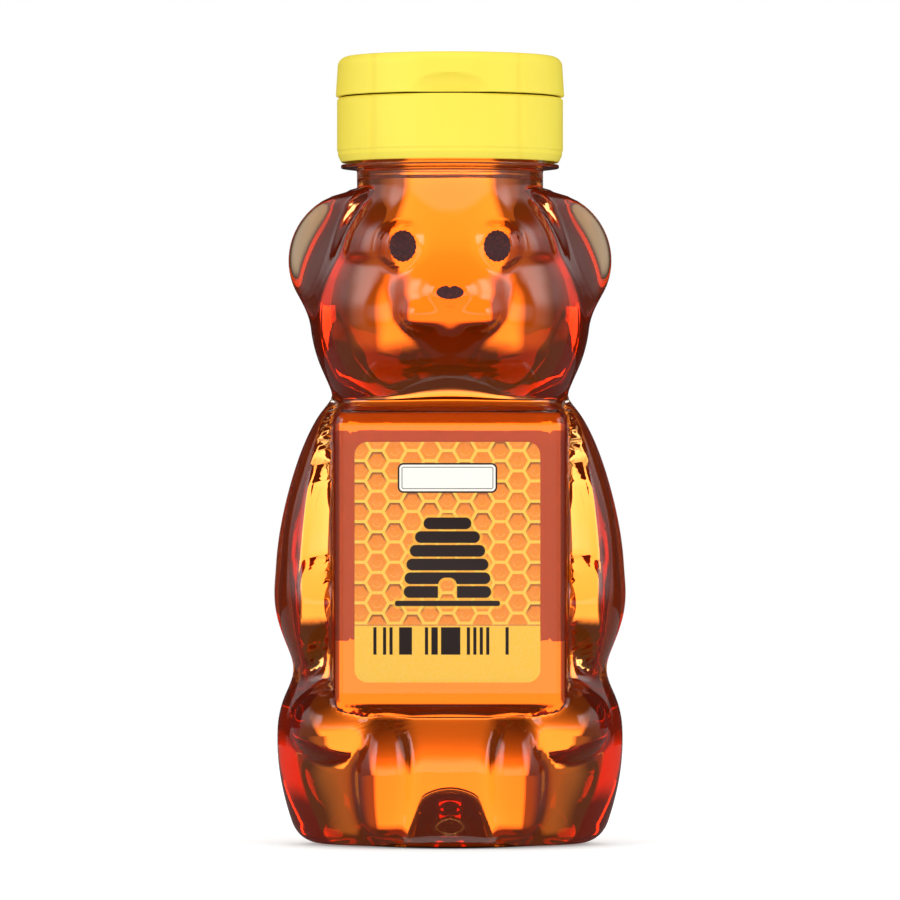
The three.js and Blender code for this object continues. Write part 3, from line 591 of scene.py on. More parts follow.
@dataclass(frozen=True)
class FrontLabelPrint:
    """Printed front label: the comb over a plain band, a blank plaque, a dark hive and a strip of bars."""

    size: Vector
    middle: Vector
    comb: CombPrint = CombPrint()
    yellow: Colour = linear(249, 192, 62)
    rule: Colour = linear(214, 132, 60)
    ink: Colour = linear(38, 20, 16)
    white: Colour = linear(250, 247, 238)
    grain_scale: float = 3200.0
    grain_depth: float = 0.00001
    soft: float = 0.00009
    band_height: float = 0.0113
    plaque_width: float = 0.0195
    plaque_height: float = 0.0058
    plaque_drop: float = 0.0042
    plaque_round: float = 0.0011
    frame_half: float = 0.00012
    frame_edge: float = 0.00022
    inner_frame_inset: float = 0.0008
    inner_frame_line: Pair = (0.00005, 0.00013)
    halo: Pair = (0.00075, 0.0004)
    hive_width: float = 0.0172
    hive_lift: float = 0.0052
    hive_bars: int = 6
    bar_height: float = 0.0027
    bar_gap_share: float = 0.16
    door_round: float = 0.0016
    board_drop: float = 0.0009
    board_half: float = 0.0005
    board_round: float = 0.0004
    bars_width: float = 0.0292
    bars_height: float = 0.0054
    bars_top: float = 0.0109
    bars_round: float = 0.00005
    bars_shift: float = -0.0002
    bar_steps: int = 46

    def hive(self, u: Sock, v: Sock) -> Sock:
        """Distance to a hive made of stacked rounded bars on a board, less its door."""
        foot = -self.size.z / 2 + self.band_height + self.hive_lift
        tall = self.bar_height
        thick = tall * (1 - self.bar_gap_share)
        found = None
        for i in range(self.hive_bars):
            level = (i + 0.5) / self.hive_bars
            half = self.hive_width / 2 * math.sqrt(1 - (level * 0.93) ** 2.2)
            bar = box_distance(u, v, (0.0, foot + (i + 0.5) * tall), (half, thick / 2), thick / 2.02)
            found = bar if found is None else found.least(bar)
        door_half = (self.hive_width * 0.11, tall * 1.35)
        door = box_distance(u, v, (0.0, foot + tall * 0.2), door_half, self.door_round)
        board_half = (self.hive_width * 0.6, self.board_half)
        board = box_distance(u, v, (0.0, foot - self.board_drop), board_half, self.board_round)
        return found.most(0.0 - door).least(board)

    def bars(self, desk: Desk, u: Sock, v: Sock) -> Sock:
        """Cover of a strip of upright bars of changing width."""
        step = (u / (self.bars_width / self.bar_steps)).floor()
        white = desk.add("ShaderNodeTexWhiteNoise", {"noise_dimensions": "1D"}, {"W": step + 7.0})
        middle = (self.bars_shift, -self.size.z / 2 + self.bars_top - self.bars_height / 2)
        strip = box_distance(u, v, middle, (self.bars_width / 2, self.bars_height / 2), self.bars_round)
        return desk.value(white).above(0.5) * strip.below(0.0)

    def plaque(self, u: Sock, v: Sock) -> Sock:
        """Distance to the blank plaque."""
        middle = (0.0, self.size.z / 2 - self.plaque_drop - self.plaque_height / 2)
        return box_distance(u, v, middle, (self.plaque_width / 2, self.plaque_height / 2), self.plaque_round)

    def material(self) -> bpy.types.Material:
        """The printed film."""
        material, desk = new_material("front_label_print")
        x, _, z = desk.place()
        u = x - self.middle.x
        v = z - self.middle.z
        soft = self.soft
        band = -self.size.z / 2 + self.band_height
        colour = desk.blend(v.rising(band - soft, band), self.yellow, self.comb.colour(desk, u, v))
        colour = desk.blend(ink_line(v - band, soft, 2.5 * soft) * 0.8, colour, self.rule)
        tone = desk.noise(desk.object_vector(), self.grain_scale, 2.0)
        colour = desk.blend(tone.rising(0.35, 0.9) * 0.10, colour, self.white)
        plaque = self.plaque(u, v)
        colour = desk.blend(plaque.rising(soft, -soft), colour, self.white)
        frame = ink_line(plaque + self.frame_half, self.frame_half, self.frame_edge)
        inner = ink_line(plaque + self.inner_frame_inset, *self.inner_frame_line)
        colour = desk.blend(frame.most(inner * 0.8), colour, self.ink)
        hive = self.hive(u, v)
        colour = desk.blend(hive.rising(*self.halo) * 0.55, colour, self.yellow)
        colour = desk.blend(hive.rising(soft, -soft * 0.4), colour, self.ink)
        colour = desk.blend(self.bars(desk, u, v), colour, self.ink)
        surface = {
            "Base Color": colour,
            "Roughness": 0.42 - hive.rising(soft, -soft) * 0.1,
            "Normal": desk.bump(tone, self.grain_depth),
        }
        close_material(desk, surface)
        return material


@dataclass(frozen=True)
class BackLabelPrint:
    """Printed back label: plain warm white film with a ruled panel and a comb border at its head."""

    size: Vector
    middle: Vector
    comb: CombPrint = CombPrint()
    cover: float = 0.6
    paper: Colour = linear(247, 238, 214)
    edging: Colour = linear(249, 192, 62)
    ink: Colour = linear(70, 40, 30)
    grain_scale: float = 3200.0
    grain_depth: float = 0.00001
    margin: float = 0.0022
    corner: float = 0.0016
    comb_height: float = 0.0105
    comb_soft: float = 0.0001
    edge_line: Pair = (0.00012, 0.00022)
    rule_line: Pair = (0.00009, 0.00017)
    rule_pitch: float = 0.0038
    rule_drop: float = 0.0125

    def material(self) -> bpy.types.Material:
        """The printed film."""
        material, desk = new_material("back_label_print")
        x, y, z = desk.place()
        u = x - self.middle.x
        v = z - self.middle.z
        top = self.size.z / 2
        half = (self.size.x / 2 - self.margin, top - self.margin)
        edge = box_distance(u, v, (0.0, 0.0), half, self.corner)
        head = v.rising(top - self.comb_height, top - self.comb_height + self.comb_soft)
        colour = desk.blend(head, self.paper, self.comb.colour(desk, u, v))
        colour = desk.blend(edge.above(0.0), colour, self.edging)
        rows = ink_line(v.wrapped(self.rule_pitch), *self.rule_line)
        ruled = rows * edge.below(-self.margin) * v.below(top - self.rule_drop)
        line = ink_line(edge, *self.edge_line)
        colour = desk.blend(line.most(ruled * 0.75), colour, self.ink)
        colour = desk.blend(y.below(self.middle.y), colour, self.paper)
        tone = desk.noise(desk.object_vector(), self.grain_scale, 2.0)
        surface = {
            "Base Color": colour,
            "Roughness": 0.45 + tone * 0.05,
            "Alpha": self.cover,
            "Normal": desk.bump(tone, self.grain_depth),
        }
        close_material(desk, surface)
        return material


# Mesh helpers


def wire(bm: bmesh.types.BMesh, outline: Outline) -> list:
    """Draws a closed outline of (radius, height) points on the plane y = 0.

    Args:
        bm: The mesh to draw in.
        outline: The points.

    Returns:
        The new vertices and edges.
    """
    verts = [bm.verts.new((radius, 0.0, height)) for radius, height in outline]
    return verts + [bm.edges.new(pair) for pair in zip(verts, verts[1:] + verts[:1])]


def turned(bm: bmesh.types.BMesh, outline: Outline, columns: int) -> None:
    """Spins a closed outline once round the upright axis, with its faces outwards."""
    bmesh.ops.spin(
        bm,
        geom=wire(bm, outline),
        cent=(0, 0, 0),
        axis=(0, 0, 1),
        dvec=(0, 0, 0),
        angle=2 * math.pi,
        steps=columns,
        use_merge=True,
        use_duplicate=False,
    )
    bmesh.ops.remove_doubles(bm, verts=bm.verts, dist=MERGE_DISTANCE)
    bmesh.ops.recalc_face_normals(bm, faces=bm.faces)


def rolled(bm: bmesh.types.BMesh, outline: Outline, columns: int) -> None:
    """Rolls a grid round the upright axis, a row to each outline point, and merges its seam and poles."""
    rows = len(outline) - 1
    bmesh.ops.create_grid(bm, x_segments=columns, y_segments=rows, size=0.5)
    for vert in bm.verts:
        angle = 2 * math.pi * round((vert.co.x + 0.5) * columns) / columns
        radius, height = outline[round((vert.co.y + 0.5) * rows)]
        vert.co = (radius * math.cos(angle), radius * math.sin(angle), height)
    bmesh.ops.remove_doubles(bm, verts=bm.verts, dist=MERGE_DISTANCE)


def face_outwards(bm: bmesh.types.BMesh) -> None:
    """Turns the faces of a skin outwards, also where it is open at one end."""
    bmesh.ops.recalc_face_normals(bm, faces=bm.faces)
    if bm.calc_volume(signed=True) < 0:
        bmesh.ops.reverse_faces(bm, faces=bm.faces)


def rounded(points: Outline, radii: dict[int, float], steps: int = 5) -> list:
    """Rounds corners of an outline.

    Args:
        points: The outline's (radius, height) points in order, closed.
        radii: Corner radius by the point's number.
        steps: Points on each rounded corner.

    Returns:
        The points with an arc in place of each such corner.
    """
    result = []
    count = len(points)
    for i, corner in enumerate(points):
        if i not in radii:
            result.append(corner)
            continue
        here = Vector(corner)
        to_last = (Vector(points[i - 1]) - here).normalized()
        to_next = (Vector(points[(i + 1) % count]) - here).normalized()
        half = to_last.angle(to_next) / 2
        reach = radii[i] / math.tan(half)
        centre = here + (to_last + to_next).normalized() * (radii[i] / math.sin(half))
        start = here + to_last * reach - centre
        end = here + to_next * reach - centre
        for k in range(steps + 1):
            way = start.lerp(end, k / steps).normalized()
            result.append(tuple(centre + way * radii[i]))
    return result


def coiled_ridge(bm: bmesh.types.BMesh, section: Outline, foot: float, pitch: float, turns: float) -> None:
    """Winds a closed section upwards round the axis as a right-hand thread with closed ends.

    Args:
        bm: An empty mesh.
        section: The section's (radius, height) points, with heights from its middle.
        foot: Height of the thread's start.
        pitch: Rise of a turn.
        turns: Length in turns.
    """
    geometry = wire(bm, [(radius, foot + rise) for radius, rise in section])
    steps = round(turns * THREAD_STEPS)
    bm.faces.new([v for v in geometry if isinstance(v, bmesh.types.BMVert)])
    spun = bmesh.ops.spin(
        bm,
        geom=geometry,
        cent=(0, 0, 0),
        axis=(0, 0, 1),
        dvec=(0, 0, pitch * turns / steps),
        angle=2 * math.pi * turns,
        steps=steps,
        use_merge=False,
        use_duplicate=False,
    )
    last = [e for e in spun["geom_last"] if isinstance(e, bmesh.types.BMEdge)]
    bmesh.ops.contextual_create(bm, geom=last)
    bmesh.ops.recalc_face_normals(bm, faces=bm.faces)


def take_in(bm: bmesh.types.BMesh, other: bmesh.types.BMesh) -> None:
    """Adds another mesh to one, and frees the other."""
    mesh = bpy.data.meshes.new("taken_in")
    other.to_mesh(mesh)
    other.free()
    bm.from_mesh(mesh)
    bpy.data.meshes.remove(mesh)


def block(bm: bmesh.types.BMesh, low: Vector, high: Vector) -> list[bmesh.types.BMVert]:
    """Adds a box between two corners and returns its vertices."""
    verts = bmesh.ops.create_cube(bm, size=1.0)["verts"]
    bmesh.ops.scale(bm, vec=high - low, verts=verts)
    bmesh.ops.translate(bm, vec=(low + high) / 2, verts=verts)
    return verts


def finished(
    name: str,
    bm: bmesh.types.BMesh,
    materials: Sequence[bpy.types.Material],
    sharp_degrees: float = 180.0,
) -> bpy.types.Object:
    """Makes an object of a bmesh.

    Args:
        name: Name of the piece.
        bm: Its mesh, which is freed.
        materials: Its materials in slot order.
        sharp_degrees: Edges that bend more than this stay sharp.

    Returns:
        The new object, at the origin.
    """
    mesh = bpy.data.meshes.new(name)
    bm.to_mesh(mesh)
    bm.free()
    mesh.shade_smooth()
    if sharp_degrees < 180:
        mesh.set_sharp_from_angle(angle=math.radians(sharp_degrees))
    for material in materials:
        mesh.materials.append(material)
    piece = bpy.data.objects.new(name, mesh)
    bpy.context.scene.collection.objects.link(piece)
    return piece


def dress(piece: bpy.types.Object, body: Body | None, slot: Slot, *nodes: str) -> None:
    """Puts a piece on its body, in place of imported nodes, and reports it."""
    if body:
        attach(piece, body.value)
    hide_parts(*nodes)
    LOG.info("%s: %d faces", piece.name, len(piece.data.polygons))


# The bear's mould


class Form(Protocol):
    """A form of the mould."""

    def distance(self, points: np.ndarray) -> np.ndarray:
        """Distance from each point to the form, negative inside."""


@dataclass(frozen=True)
class Egg:
    """An egg with its own half height above and below its middle."""

    centre: Point
    half_x: float
    half_y: float
    rise: float
    drop: float

    def distance(self, points: np.ndarray) -> np.ndarray:
        """Distance from each point to the egg, negative inside."""
        offset = points - np.array(self.centre)
        radii = np.empty_like(offset)
        radii[:, 0] = self.half_x
        radii[:, 1] = self.half_y
        radii[:, 2] = np.where(offset[:, 2] > 0, self.rise, self.drop)
        once = offset / radii
        length = np.linalg.norm(once, axis=1)
        twice = np.linalg.norm(once / radii, axis=1)
        return np.where(length == 0, -self.half_x, length * (length - 1) / np.maximum(twice, NO_LENGTH))


@dataclass(frozen=True)
class SoftBox:
    """A box with rounded edges."""

    centre: Point
    half: Point
    round: float

    def distance(self, points: np.ndarray) -> np.ndarray:
        """Distance from each point to the box, negative inside."""
        past = np.abs(points - np.array(self.centre)) - np.array(self.half) + self.round
        inside = np.minimum(past.max(axis=1), 0)
        return np.linalg.norm(np.maximum(past, 0), axis=1) + inside - self.round


@dataclass(frozen=True)
class OvalPlate:
    """An upright oval plate with rounded rims, which faces along Y."""

    centre: Point
    half_x: float
    half_y: float
    rise: float
    drop: float
    round: float

    def distance(self, points: np.ndarray) -> np.ndarray:
        """Distance from each point to the plate, negative inside."""
        offset = points - np.array(self.centre)
        half_z = np.where(offset[:, 2] > 0, self.rise, self.drop)
        once = np.hypot(offset[:, 0] / self.half_x, offset[:, 2] / half_z)
        twice = np.hypot(offset[:, 0] / self.half_x**2, offset[:, 2] / half_z**2)
        outline = np.where(once == 0, -self.half_x, once * (once - 1) / np.maximum(twice, NO_LENGTH))
        past_rim = outline + self.round
        past_face = np.abs(offset[:, 1]) - self.half_y + self.round
        inside = np.minimum(np.maximum(past_rim, past_face), 0)
        return np.hypot(np.maximum(past_rim, 0), np.maximum(past_face, 0)) + inside - self.round


@dataclass(frozen=True)
class BowedEgg:
    """An egg whose upright axis bows inwards above and below its middle."""

    egg: Egg
    bow: float

    def distance(self, points: np.ndarray) -> np.ndarray:
        """Distance from each point to the egg, negative inside."""
        straight = points.copy()
        straight[:, 0] += self.bow * (points[:, 2] - self.egg.centre[2]) ** 2
        return self.egg.distance(straight)


@dataclass(frozen=True)
class Cut:
    """A form with flats, each a point and an outward direction."""

    form: Form
    flats: tuple[tuple[Point, Point], ...]
    soft: float

    def distance(self, points: np.ndarray) -> np.ndarray:
        """Distance from each point to what the flats leave, negative inside."""
        found = self.form.distance(points)
        for place, way in self.flats:
            past = (points - np.array(place)) @ (np.array(way) / np.linalg.norm(way))
            found = -flow_together(-found, -past, self.soft)
        return found


def eased(share: np.ndarray | float) -> np.ndarray | float:
    """A share of 0 to 1 with a soft start and a soft end."""
    return share * share * (3 - 2 * share)


def flow_together(a: np.ndarray, b: np.ndarray, reach: float) -> np.ndarray:
    """Smooth union of two distances, as blown plastic flows together within a reach."""
    overlap = np.maximum(reach - np.abs(a - b), 0) / reach
    return np.minimum(a, b) - overlap * overlap * reach / 4


@dataclass
class BearMould:
    """The form that the bear is blown into.

    Heights are from the base and reaches from the upright axis. A level is the height of a form's middle as a
    share of the body or the head.
    """

    body_height: float = 0.0885
    head_height: float = 0.0421
    panel_width: float = 0.0462
    panel_height: float = 0.060
    panel_foot: float = 0.027
    panel_depth: float = 0.0426
    panel_round: float = 0.0032
    torso_width: float = 0.056
    torso_depth: float = 0.038
    torso_rise: float = 0.050
    torso_drop: float = 0.048
    torso_level: float = 0.6
    arm_reach: float = 0.0064
    arm_width: float = 0.011
    arm_depth: float = 0.028
    arm_bow: float = 4.2
    arm_round: float = 0.0012
    arm_rise: float = 0.036
    arm_drop: float = 0.020
    arm_level: float = 0.588
    arm_flat_level: float = 0.68
    paw_width: float = 0.0148
    paw_depth: float = 0.028
    paw_height: float = 0.0165
    paw_tuck: float = 0.0012
    paw_level: float = 0.545
    paw_front_share: float = 0.05
    back_width: float = 0.067
    back_reach: float = 0.021
    back_rise: float = 0.036
    back_drop: float = 0.022
    hip_span: float = 0.069
    thigh_width: float = 0.0304
    thigh_depth: float = 0.026
    thigh_rise: float = 0.0174
    thigh_drop: float = 0.0248
    thigh_level: float = 0.249
    knee_span: float = 0.063
    knee_width: float = 0.019
    knee_height: float = 0.017
    knee_reach: float = 0.0206
    knee_length: float = 0.022
    knee_level: float = 0.268
    foot_span: float = 0.039
    foot_width: float = 0.014
    foot_rise: float = 0.0135
    foot_drop: float = 0.017
    foot_reach: float = 0.0232
    foot_length: float = 0.022
    foot_level: float = 0.165
    seat_width: float = 0.064
    seat_depth: float = 0.039
    seat_rise: float = 0.024
    seat_drop: float = 0.042
    seat_level: float = 0.17
    base_round: float = 0.0045
    push_up_width: float = 0.025
    push_up_height: float = 0.011
    head_width: float = 0.056
    head_depth: float = 0.041
    head_round: float = 0.028
    head_middle: float = 0.416
    chin_round: float = 0.004
    chin_share: float = 0.475
    chin_level: float = 0.262
    chin_soft: float = 0.004
    fine_round_share: float = 0.34
    muzzle_width: float = 0.0244
    muzzle_height: float = 0.0206
    muzzle_reach: float = 0.024
    muzzle_length: float = 0.019
    muzzle_level: float = 0.477
    lip_width: float = 0.010
    lip_height: float = 0.0072
    lip_reach: float = 0.0243
    lip_level: float = 0.401
    nose_width: float = 0.007
    nose_height: float = 0.0046
    nose_rise_share: float = 1 / 9
    nose_share: float = 0.501
    brow_span: float = 0.0416
    brow_width: float = 0.0224
    brow_rise: float = 0.0115
    brow_drop: float = 0.0030
    brow_reach: float = 0.0180
    brow_length: float = 0.016
    brow_level: float = 0.689
    cheek_span: float = 0.0480
    cheek_width: float = 0.026
    cheek_rise: float = 0.0096
    cheek_drop: float = 0.014
    cheek_reach: float = 0.0179
    cheek_length: float = 0.024
    cheek_level: float = 0.43
    eye_spacing: float = 0.0186
    eye_mound_width: float = 0.009
    eye_mound_height: float = 0.0094
    eye_mound_rise: float = 0.0012
    eye_share: float = 0.72
    ear_span: float = 0.0646
    ear_width: float = 0.027
    ear_height: float = 0.027
    ear_thickness: float = 0.024
    ear_ridge: float = 0.0264
    ear_ridge_reach: float = 0.0072
    ear_root: float = 0.0237
    ear_root_reach: float = 0.0092
    ear_back_reach: float = 0.0045
    ear_flow: float = 0.003
    ear_round: float = 0.0016
    ear_level: float = 0.665
    ear_ridge_level: float = 0.705
    neck_radius: float = 0.0186
    farthest: float = 0.045
    farthest_front: float = 0.03
    search_step: float = 0.0004
    slope_step: float = 0.0001
    halvings: int = 16

    def __post_init__(self) -> None:
        """Sets the folded forms, then the mounds that stand on the face wherever it is."""
        self.fine_round = self.chin_round * self.fine_round_share
        self.neck_foot = self.body_height + self.head_height
        self.eye_height = self.head_level(self.eye_share)
        self.nose_level = self.head_level(self.nose_share)
        self.forms = self.body_forms() + self.head_forms()
        self.mounds: list[Egg] = []
        eye = self.front_of(np.array([[self.eye_spacing / 2, self.eye_height]]))[0]
        nose = self.front_of(np.array([[0.0, self.nose_level]]))[0]
        eye_half = self.eye_mound_height / 2
        nose_half = self.nose_height / 2
        nose_rise = self.nose_height * self.nose_rise_share
        self.mounds = [
            Egg(tuple(eye), self.eye_mound_width / 2, 2 * self.eye_mound_rise, eye_half, eye_half),
            Egg(tuple(nose), self.nose_width / 2, nose_rise, nose_half, nose_half),
        ]

    def head_level(self, share: float) -> float:
        """Height at a share of the head."""
        return self.body_height + self.head_height * share

    def low_egg(
        self, x: float, y: float, level: float, width: float, depth: float, *heights: float
    ) -> Egg:
        """An egg below the chin from its full width and depth.

        Args:
            x: Place of its middle across.
            y: Place of its middle from front to back.
            level: Share of the body's height at its middle.
            width: Full width.
            depth: Full depth.
            heights: Its height above and below its middle, or its full height alone.

        Returns:
            The egg.
        """
        rise, drop = heights if len(heights) == 2 else (heights[0] / 2, heights[0] / 2)
        return Egg((x, y, self.body_height * level), width / 2, depth / 2, rise, drop)

    def high_egg(
        self, x: float, reach: float, level: float, width: float, length: float, *heights: float
    ) -> Egg:
        """An egg on the head whose front reaches to a distance from the axis.

        Args:
            x: Place of its middle across.
            reach: Distance of its front from the upright axis.
            level: Share of the head's height at its middle.
            width: Full width.
            length: Full length from front to back.
            heights: Its height above and below its middle, or its full height alone.

        Returns:
            The egg.
        """
        rise, drop = heights if len(heights) == 2 else (heights[0] / 2, heights[0] / 2)
        return Egg((x, length / 2 - reach, self.head_level(level)), width / 2, length / 2, rise, drop)

    def arm(self) -> Form:
        """The upper arm, bowed inwards, with the flat along its front."""
        x = (self.torso_width + 2 * self.arm_reach - self.arm_width) / 2
        egg = self.low_egg(x, 0, self.arm_level, self.arm_width, self.arm_depth, self.arm_rise, self.arm_drop)
        place = (x - self.arm_width * 0.02, -self.arm_depth / 2 * 0.945, self.body_height * self.arm_flat_level)
        return Cut(BowedEgg(egg, self.arm_bow), ((place, (0.545, -0.83, 0.12)),), self.arm_round)

    def body_forms(self) -> list[tuple[Form, float]]:
        """Forms below the chin, each with the reach over which it flows into the rest."""
        egg = self.low_egg
        torso = egg(
            0, 0, self.torso_level, self.torso_width, self.torso_depth, self.torso_rise, self.torso_drop
        )
        back = egg(0, 0, self.arm_level, self.back_width, 2 * self.back_reach, self.back_rise, self.back_drop)
        back = Cut(back, (((0, 0, 0), (0, -1, 0)),), self.chin_round)
        paw_x = (self.torso_width + 2 * self.arm_reach - self.paw_width) / 2 - self.paw_tuck
        paw_y = -self.arm_depth * self.paw_front_share
        paw = egg(paw_x, paw_y, self.paw_level, self.paw_width, self.paw_depth, self.paw_height)
        thigh_x = (self.hip_span - self.thigh_width) / 2
        thigh = egg(
            thigh_x, 0, self.thigh_level, self.thigh_width, self.thigh_depth, self.thigh_rise, self.thigh_drop
        )
        seat = egg(0, 0, self.seat_level, self.seat_width, self.seat_depth, self.seat_rise, self.seat_drop)
        knee_x = (self.knee_span - self.knee_width) / 2
        knee_y = self.knee_length / 2 - self.knee_reach
        knee = egg(knee_x, knee_y, self.knee_level, self.knee_width, self.knee_length, self.knee_height)
        foot_x = (self.foot_span - self.foot_width) / 2
        foot_y = self.foot_length / 2 - self.foot_reach
        foot = egg(
            foot_x, foot_y, self.foot_level, self.foot_width, self.foot_length, self.foot_rise, self.foot_drop
        )
        half = (self.panel_width / 2, self.panel_depth / 2, self.panel_height / 2)
        panel = SoftBox((0, 0, self.panel_foot + self.panel_height / 2), half, self.panel_round)
        wide = [torso, back, self.arm(), paw, thigh, seat]
        fine = [knee, foot, panel]
        return [(form, self.chin_round) for form in wide] + [(form, self.fine_round) for form in fine]

    def ear(self) -> Form:
        """The ear: an oval plate whose front falls off in two flats on either side of a ridge."""
        half = self.ear_height / 2
        middle = ((self.ear_span - self.ear_width) / 2, 0, self.head_level(self.ear_level))
        disc = OvalPlate(middle, self.ear_width / 2, self.ear_thickness / 2, half, half, self.ear_round)
        level = self.head_level(self.ear_ridge_level)
        ridge = (self.ear_ridge, -self.ear_ridge_reach, level)
        flats = (
            (ridge, (0.695, -0.719, 0.10)),
            (ridge, (0.60, -0.80, 0.10)),
            ((self.ear_root, -self.ear_root_reach, level), (-0.74, -0.50, -0.46)),
            ((self.ear_ridge, self.ear_back_reach, level), (0, 1, 0)),
        )
        return Cut(disc, flats, self.ear_round)

    def head_forms(self) -> list[tuple[Form, float]]:
        """Forms above the chin, each with its reach."""
        egg = self.high_egg
        half_depth = self.head_depth / 2
        skull = egg(0, half_depth, self.head_middle, self.head_width, self.head_depth, 2 * self.head_round)
        chin = (0.0, -self.head_depth * self.chin_share, self.head_level(self.chin_level))
        head = Cut(skull, ((chin, (0.0, -0.75, -0.66)),), self.chin_soft)
        brow_x = (self.brow_span - self.brow_width) / 2
        brow = egg(
            brow_x,
            self.brow_reach,
            self.brow_level,
            self.brow_width,
            self.brow_length,
            self.brow_rise,
            self.brow_drop,
        )
        cheek_x = (self.cheek_span - self.cheek_width) / 2
        cheek = egg(
            cheek_x,
            self.cheek_reach,
            self.cheek_level,
            self.cheek_width,
            self.cheek_length,
            self.cheek_rise,
            self.cheek_drop,
        )
        muzzle = egg(
            0, self.muzzle_reach, self.muzzle_level, self.muzzle_width, self.muzzle_length, self.muzzle_height
        )
        wide = self.lip_width
        lip = egg(wide / 2, self.lip_reach, self.lip_level, wide, wide, self.lip_height)
        fine = [(form, self.fine_round) for form in (brow, cheek, muzzle, lip)]
        return [(head, self.chin_round), (self.ear(), self.ear_flow), *fine]

    def distance(self, points: np.ndarray) -> np.ndarray:
        """Distance from each point to the bear's skin, negative inside."""
        folded = points.copy()
        folded[:, 0] = np.abs(folded[:, 0])
        found = None
        for form, reach in self.forms:
            near = form.distance(folded)
            found = near if found is None else flow_together(found, near, reach)
        radius = np.hypot(points[:, 0], points[:, 1])
        neck = np.maximum(radius - self.neck_radius, self.head_level(self.head_middle) - points[:, 2])
        found = flow_together(found, neck, self.chin_round)
        found = -flow_together(-found, points[:, 2], self.base_round)
        for mound in self.mounds:
            found = flow_together(found, mound.distance(folded), self.fine_round)
        return found

    def search(self, starts: np.ndarray, ways: np.ndarray, reach: float, level: float) -> np.ndarray:
        """Looks for the skin along rays, from outside inwards.

        Args:
            starts: Points inside the bear, one a ray.
            ways: Unit directions outwards.
            reach: How far out the search starts.
            level: Distance outside the skin of the surface that is looked for.

        Returns:
            How far along each ray the surface lies.
        """
        outer = np.full(len(starts), reach)
        looking = np.ones(len(starts), bool)
        while looking.any():
            index = np.flatnonzero(looking)
            points = starts[index] + ways[index] * outer[index, None]
            inside = self.distance(points) <= level
            done = inside | (outer[index] <= 0)
            looking[index[done]] = False
            outer[index[~done]] -= self.search_step
        inner = outer
        outer = outer + self.search_step
        for _ in range(self.halvings):
            middle = (inner + outer) / 2
            beyond = self.distance(starts + ways * middle[:, None]) > level
            outer = np.where(beyond, middle, outer)
            inner = np.where(beyond, inner, middle)
        return inner

    def front_of(self, places: np.ndarray) -> np.ndarray:
        """Points on the bear's front above (x, z) places."""
        count = len(places)
        starts = np.stack([places[:, 0], np.zeros(count), places[:, 1]], axis=1)
        ways = np.tile([0.0, -1.0, 0.0], (count, 1))
        return starts + ways * self.search(starts, ways, self.farthest_front, 0.0)[:, None]

    def outward(self, points: np.ndarray) -> np.ndarray:
        """Unit directions out of the skin."""
        steps = np.eye(3) * self.slope_step
        rises = [self.distance(points + step) - self.distance(points - step) for step in steps]
        slope = np.stack(rises, axis=1)
        return slope / np.linalg.norm(slope, axis=1, keepdims=True)


@dataclass
class NeckFinish:
    """The moulded neck above the blown bear."""

    radius: float = 0.0176
    stub_radius: float = 0.0186
    wall: float = 0.0014
    ring_lift: float = 0.0039
    ring_radius: float = 0.0218
    ring_thickness: float = 0.0015
    finish_height: float = 0.0106
    thread_radius: float = 0.01875
    thread_pitch: float = 0.004233
    thread_turns: float = 1.1
    thread_foot_width: float = 0.0023
    thread_crest_width: float = 0.0009
    thread_drop: float = 0.0026
    thread_fade: float = 0.08
    root_round: float = 0.0005
    ring_round: float = 0.00022
    rim_round: float = 0.0004
    fineness: float = 0.0004

    def outline(self, foot: float) -> list[Pair]:
        """Outer (radius, height) points from the neck's foot to the middle of the rim."""
        ring = foot + self.ring_lift
        top = ring + self.ring_thickness
        rim = top + self.finish_height
        corners = [
            (self.stub_radius, foot),
            (self.stub_radius, ring),
            (self.ring_radius, ring + self.ring_thickness * 0.25),
            (self.ring_radius, ring + self.ring_thickness * 0.7),
            (self.radius, top),
            (self.radius, rim),
            (self.radius - self.wall / 2, rim),
        ]
        root = self.root_round
        ring_edge = self.ring_round
        radii = {1: root, 2: ring_edge, 3: ring_edge, 4: root, 5: self.rim_round}
        fine = rounded(corners + [(0.0, rim), (0.0, foot)], radii)[:-2]
        result = [fine[0]]
        for last, point in zip(fine, fine[1:]):
            pieces = max(1, round(math.dist(last, point) / self.fineness))
            steps = (Vector(last).lerp(Vector(point), k / pieces) for k in range(1, pieces + 1))
            result += [tuple(step) for step in steps]
        return result

    def inner_outline(self, foot: float, stub: float, bore: float) -> list[Pair]:
        """Inner points over the neck's foot, which narrow from the blown stub to the bore."""
        shares = (0.25, 0.5, 0.75, 1.0)
        return [(bore + (stub - bore) * (1 - share), foot + self.ring_lift * share) for share in shares]

    def thread(self, turn: np.ndarray, height: np.ndarray, rim: float) -> np.ndarray:
        """How far the thread stands out of the neck.

        Args:
            turn: Angle round the axis from +X, in turns of 0 to 1.
            height: Height over the base.
            rim: Height of the rim.

        Returns:
            The ridge's height over the neck, zero beside it.
        """
        foot = rim - self.thread_drop - self.thread_turns * self.thread_pitch
        rise = np.zeros_like(turn)
        flank = (self.thread_foot_width - self.thread_crest_width) / 2
        for lap in (0, 1):
            along = turn + lap
            fade = np.clip(np.minimum(along, self.thread_turns - along) / self.thread_fade, 0, 1)
            away = np.abs(height - foot - along * self.thread_pitch)
            slope = np.clip((self.thread_foot_width / 2 - away) / flank, 0, 1)
            full = eased(slope) * fade * (self.thread_radius - self.radius)
            rise = np.maximum(rise, full)
        return rise


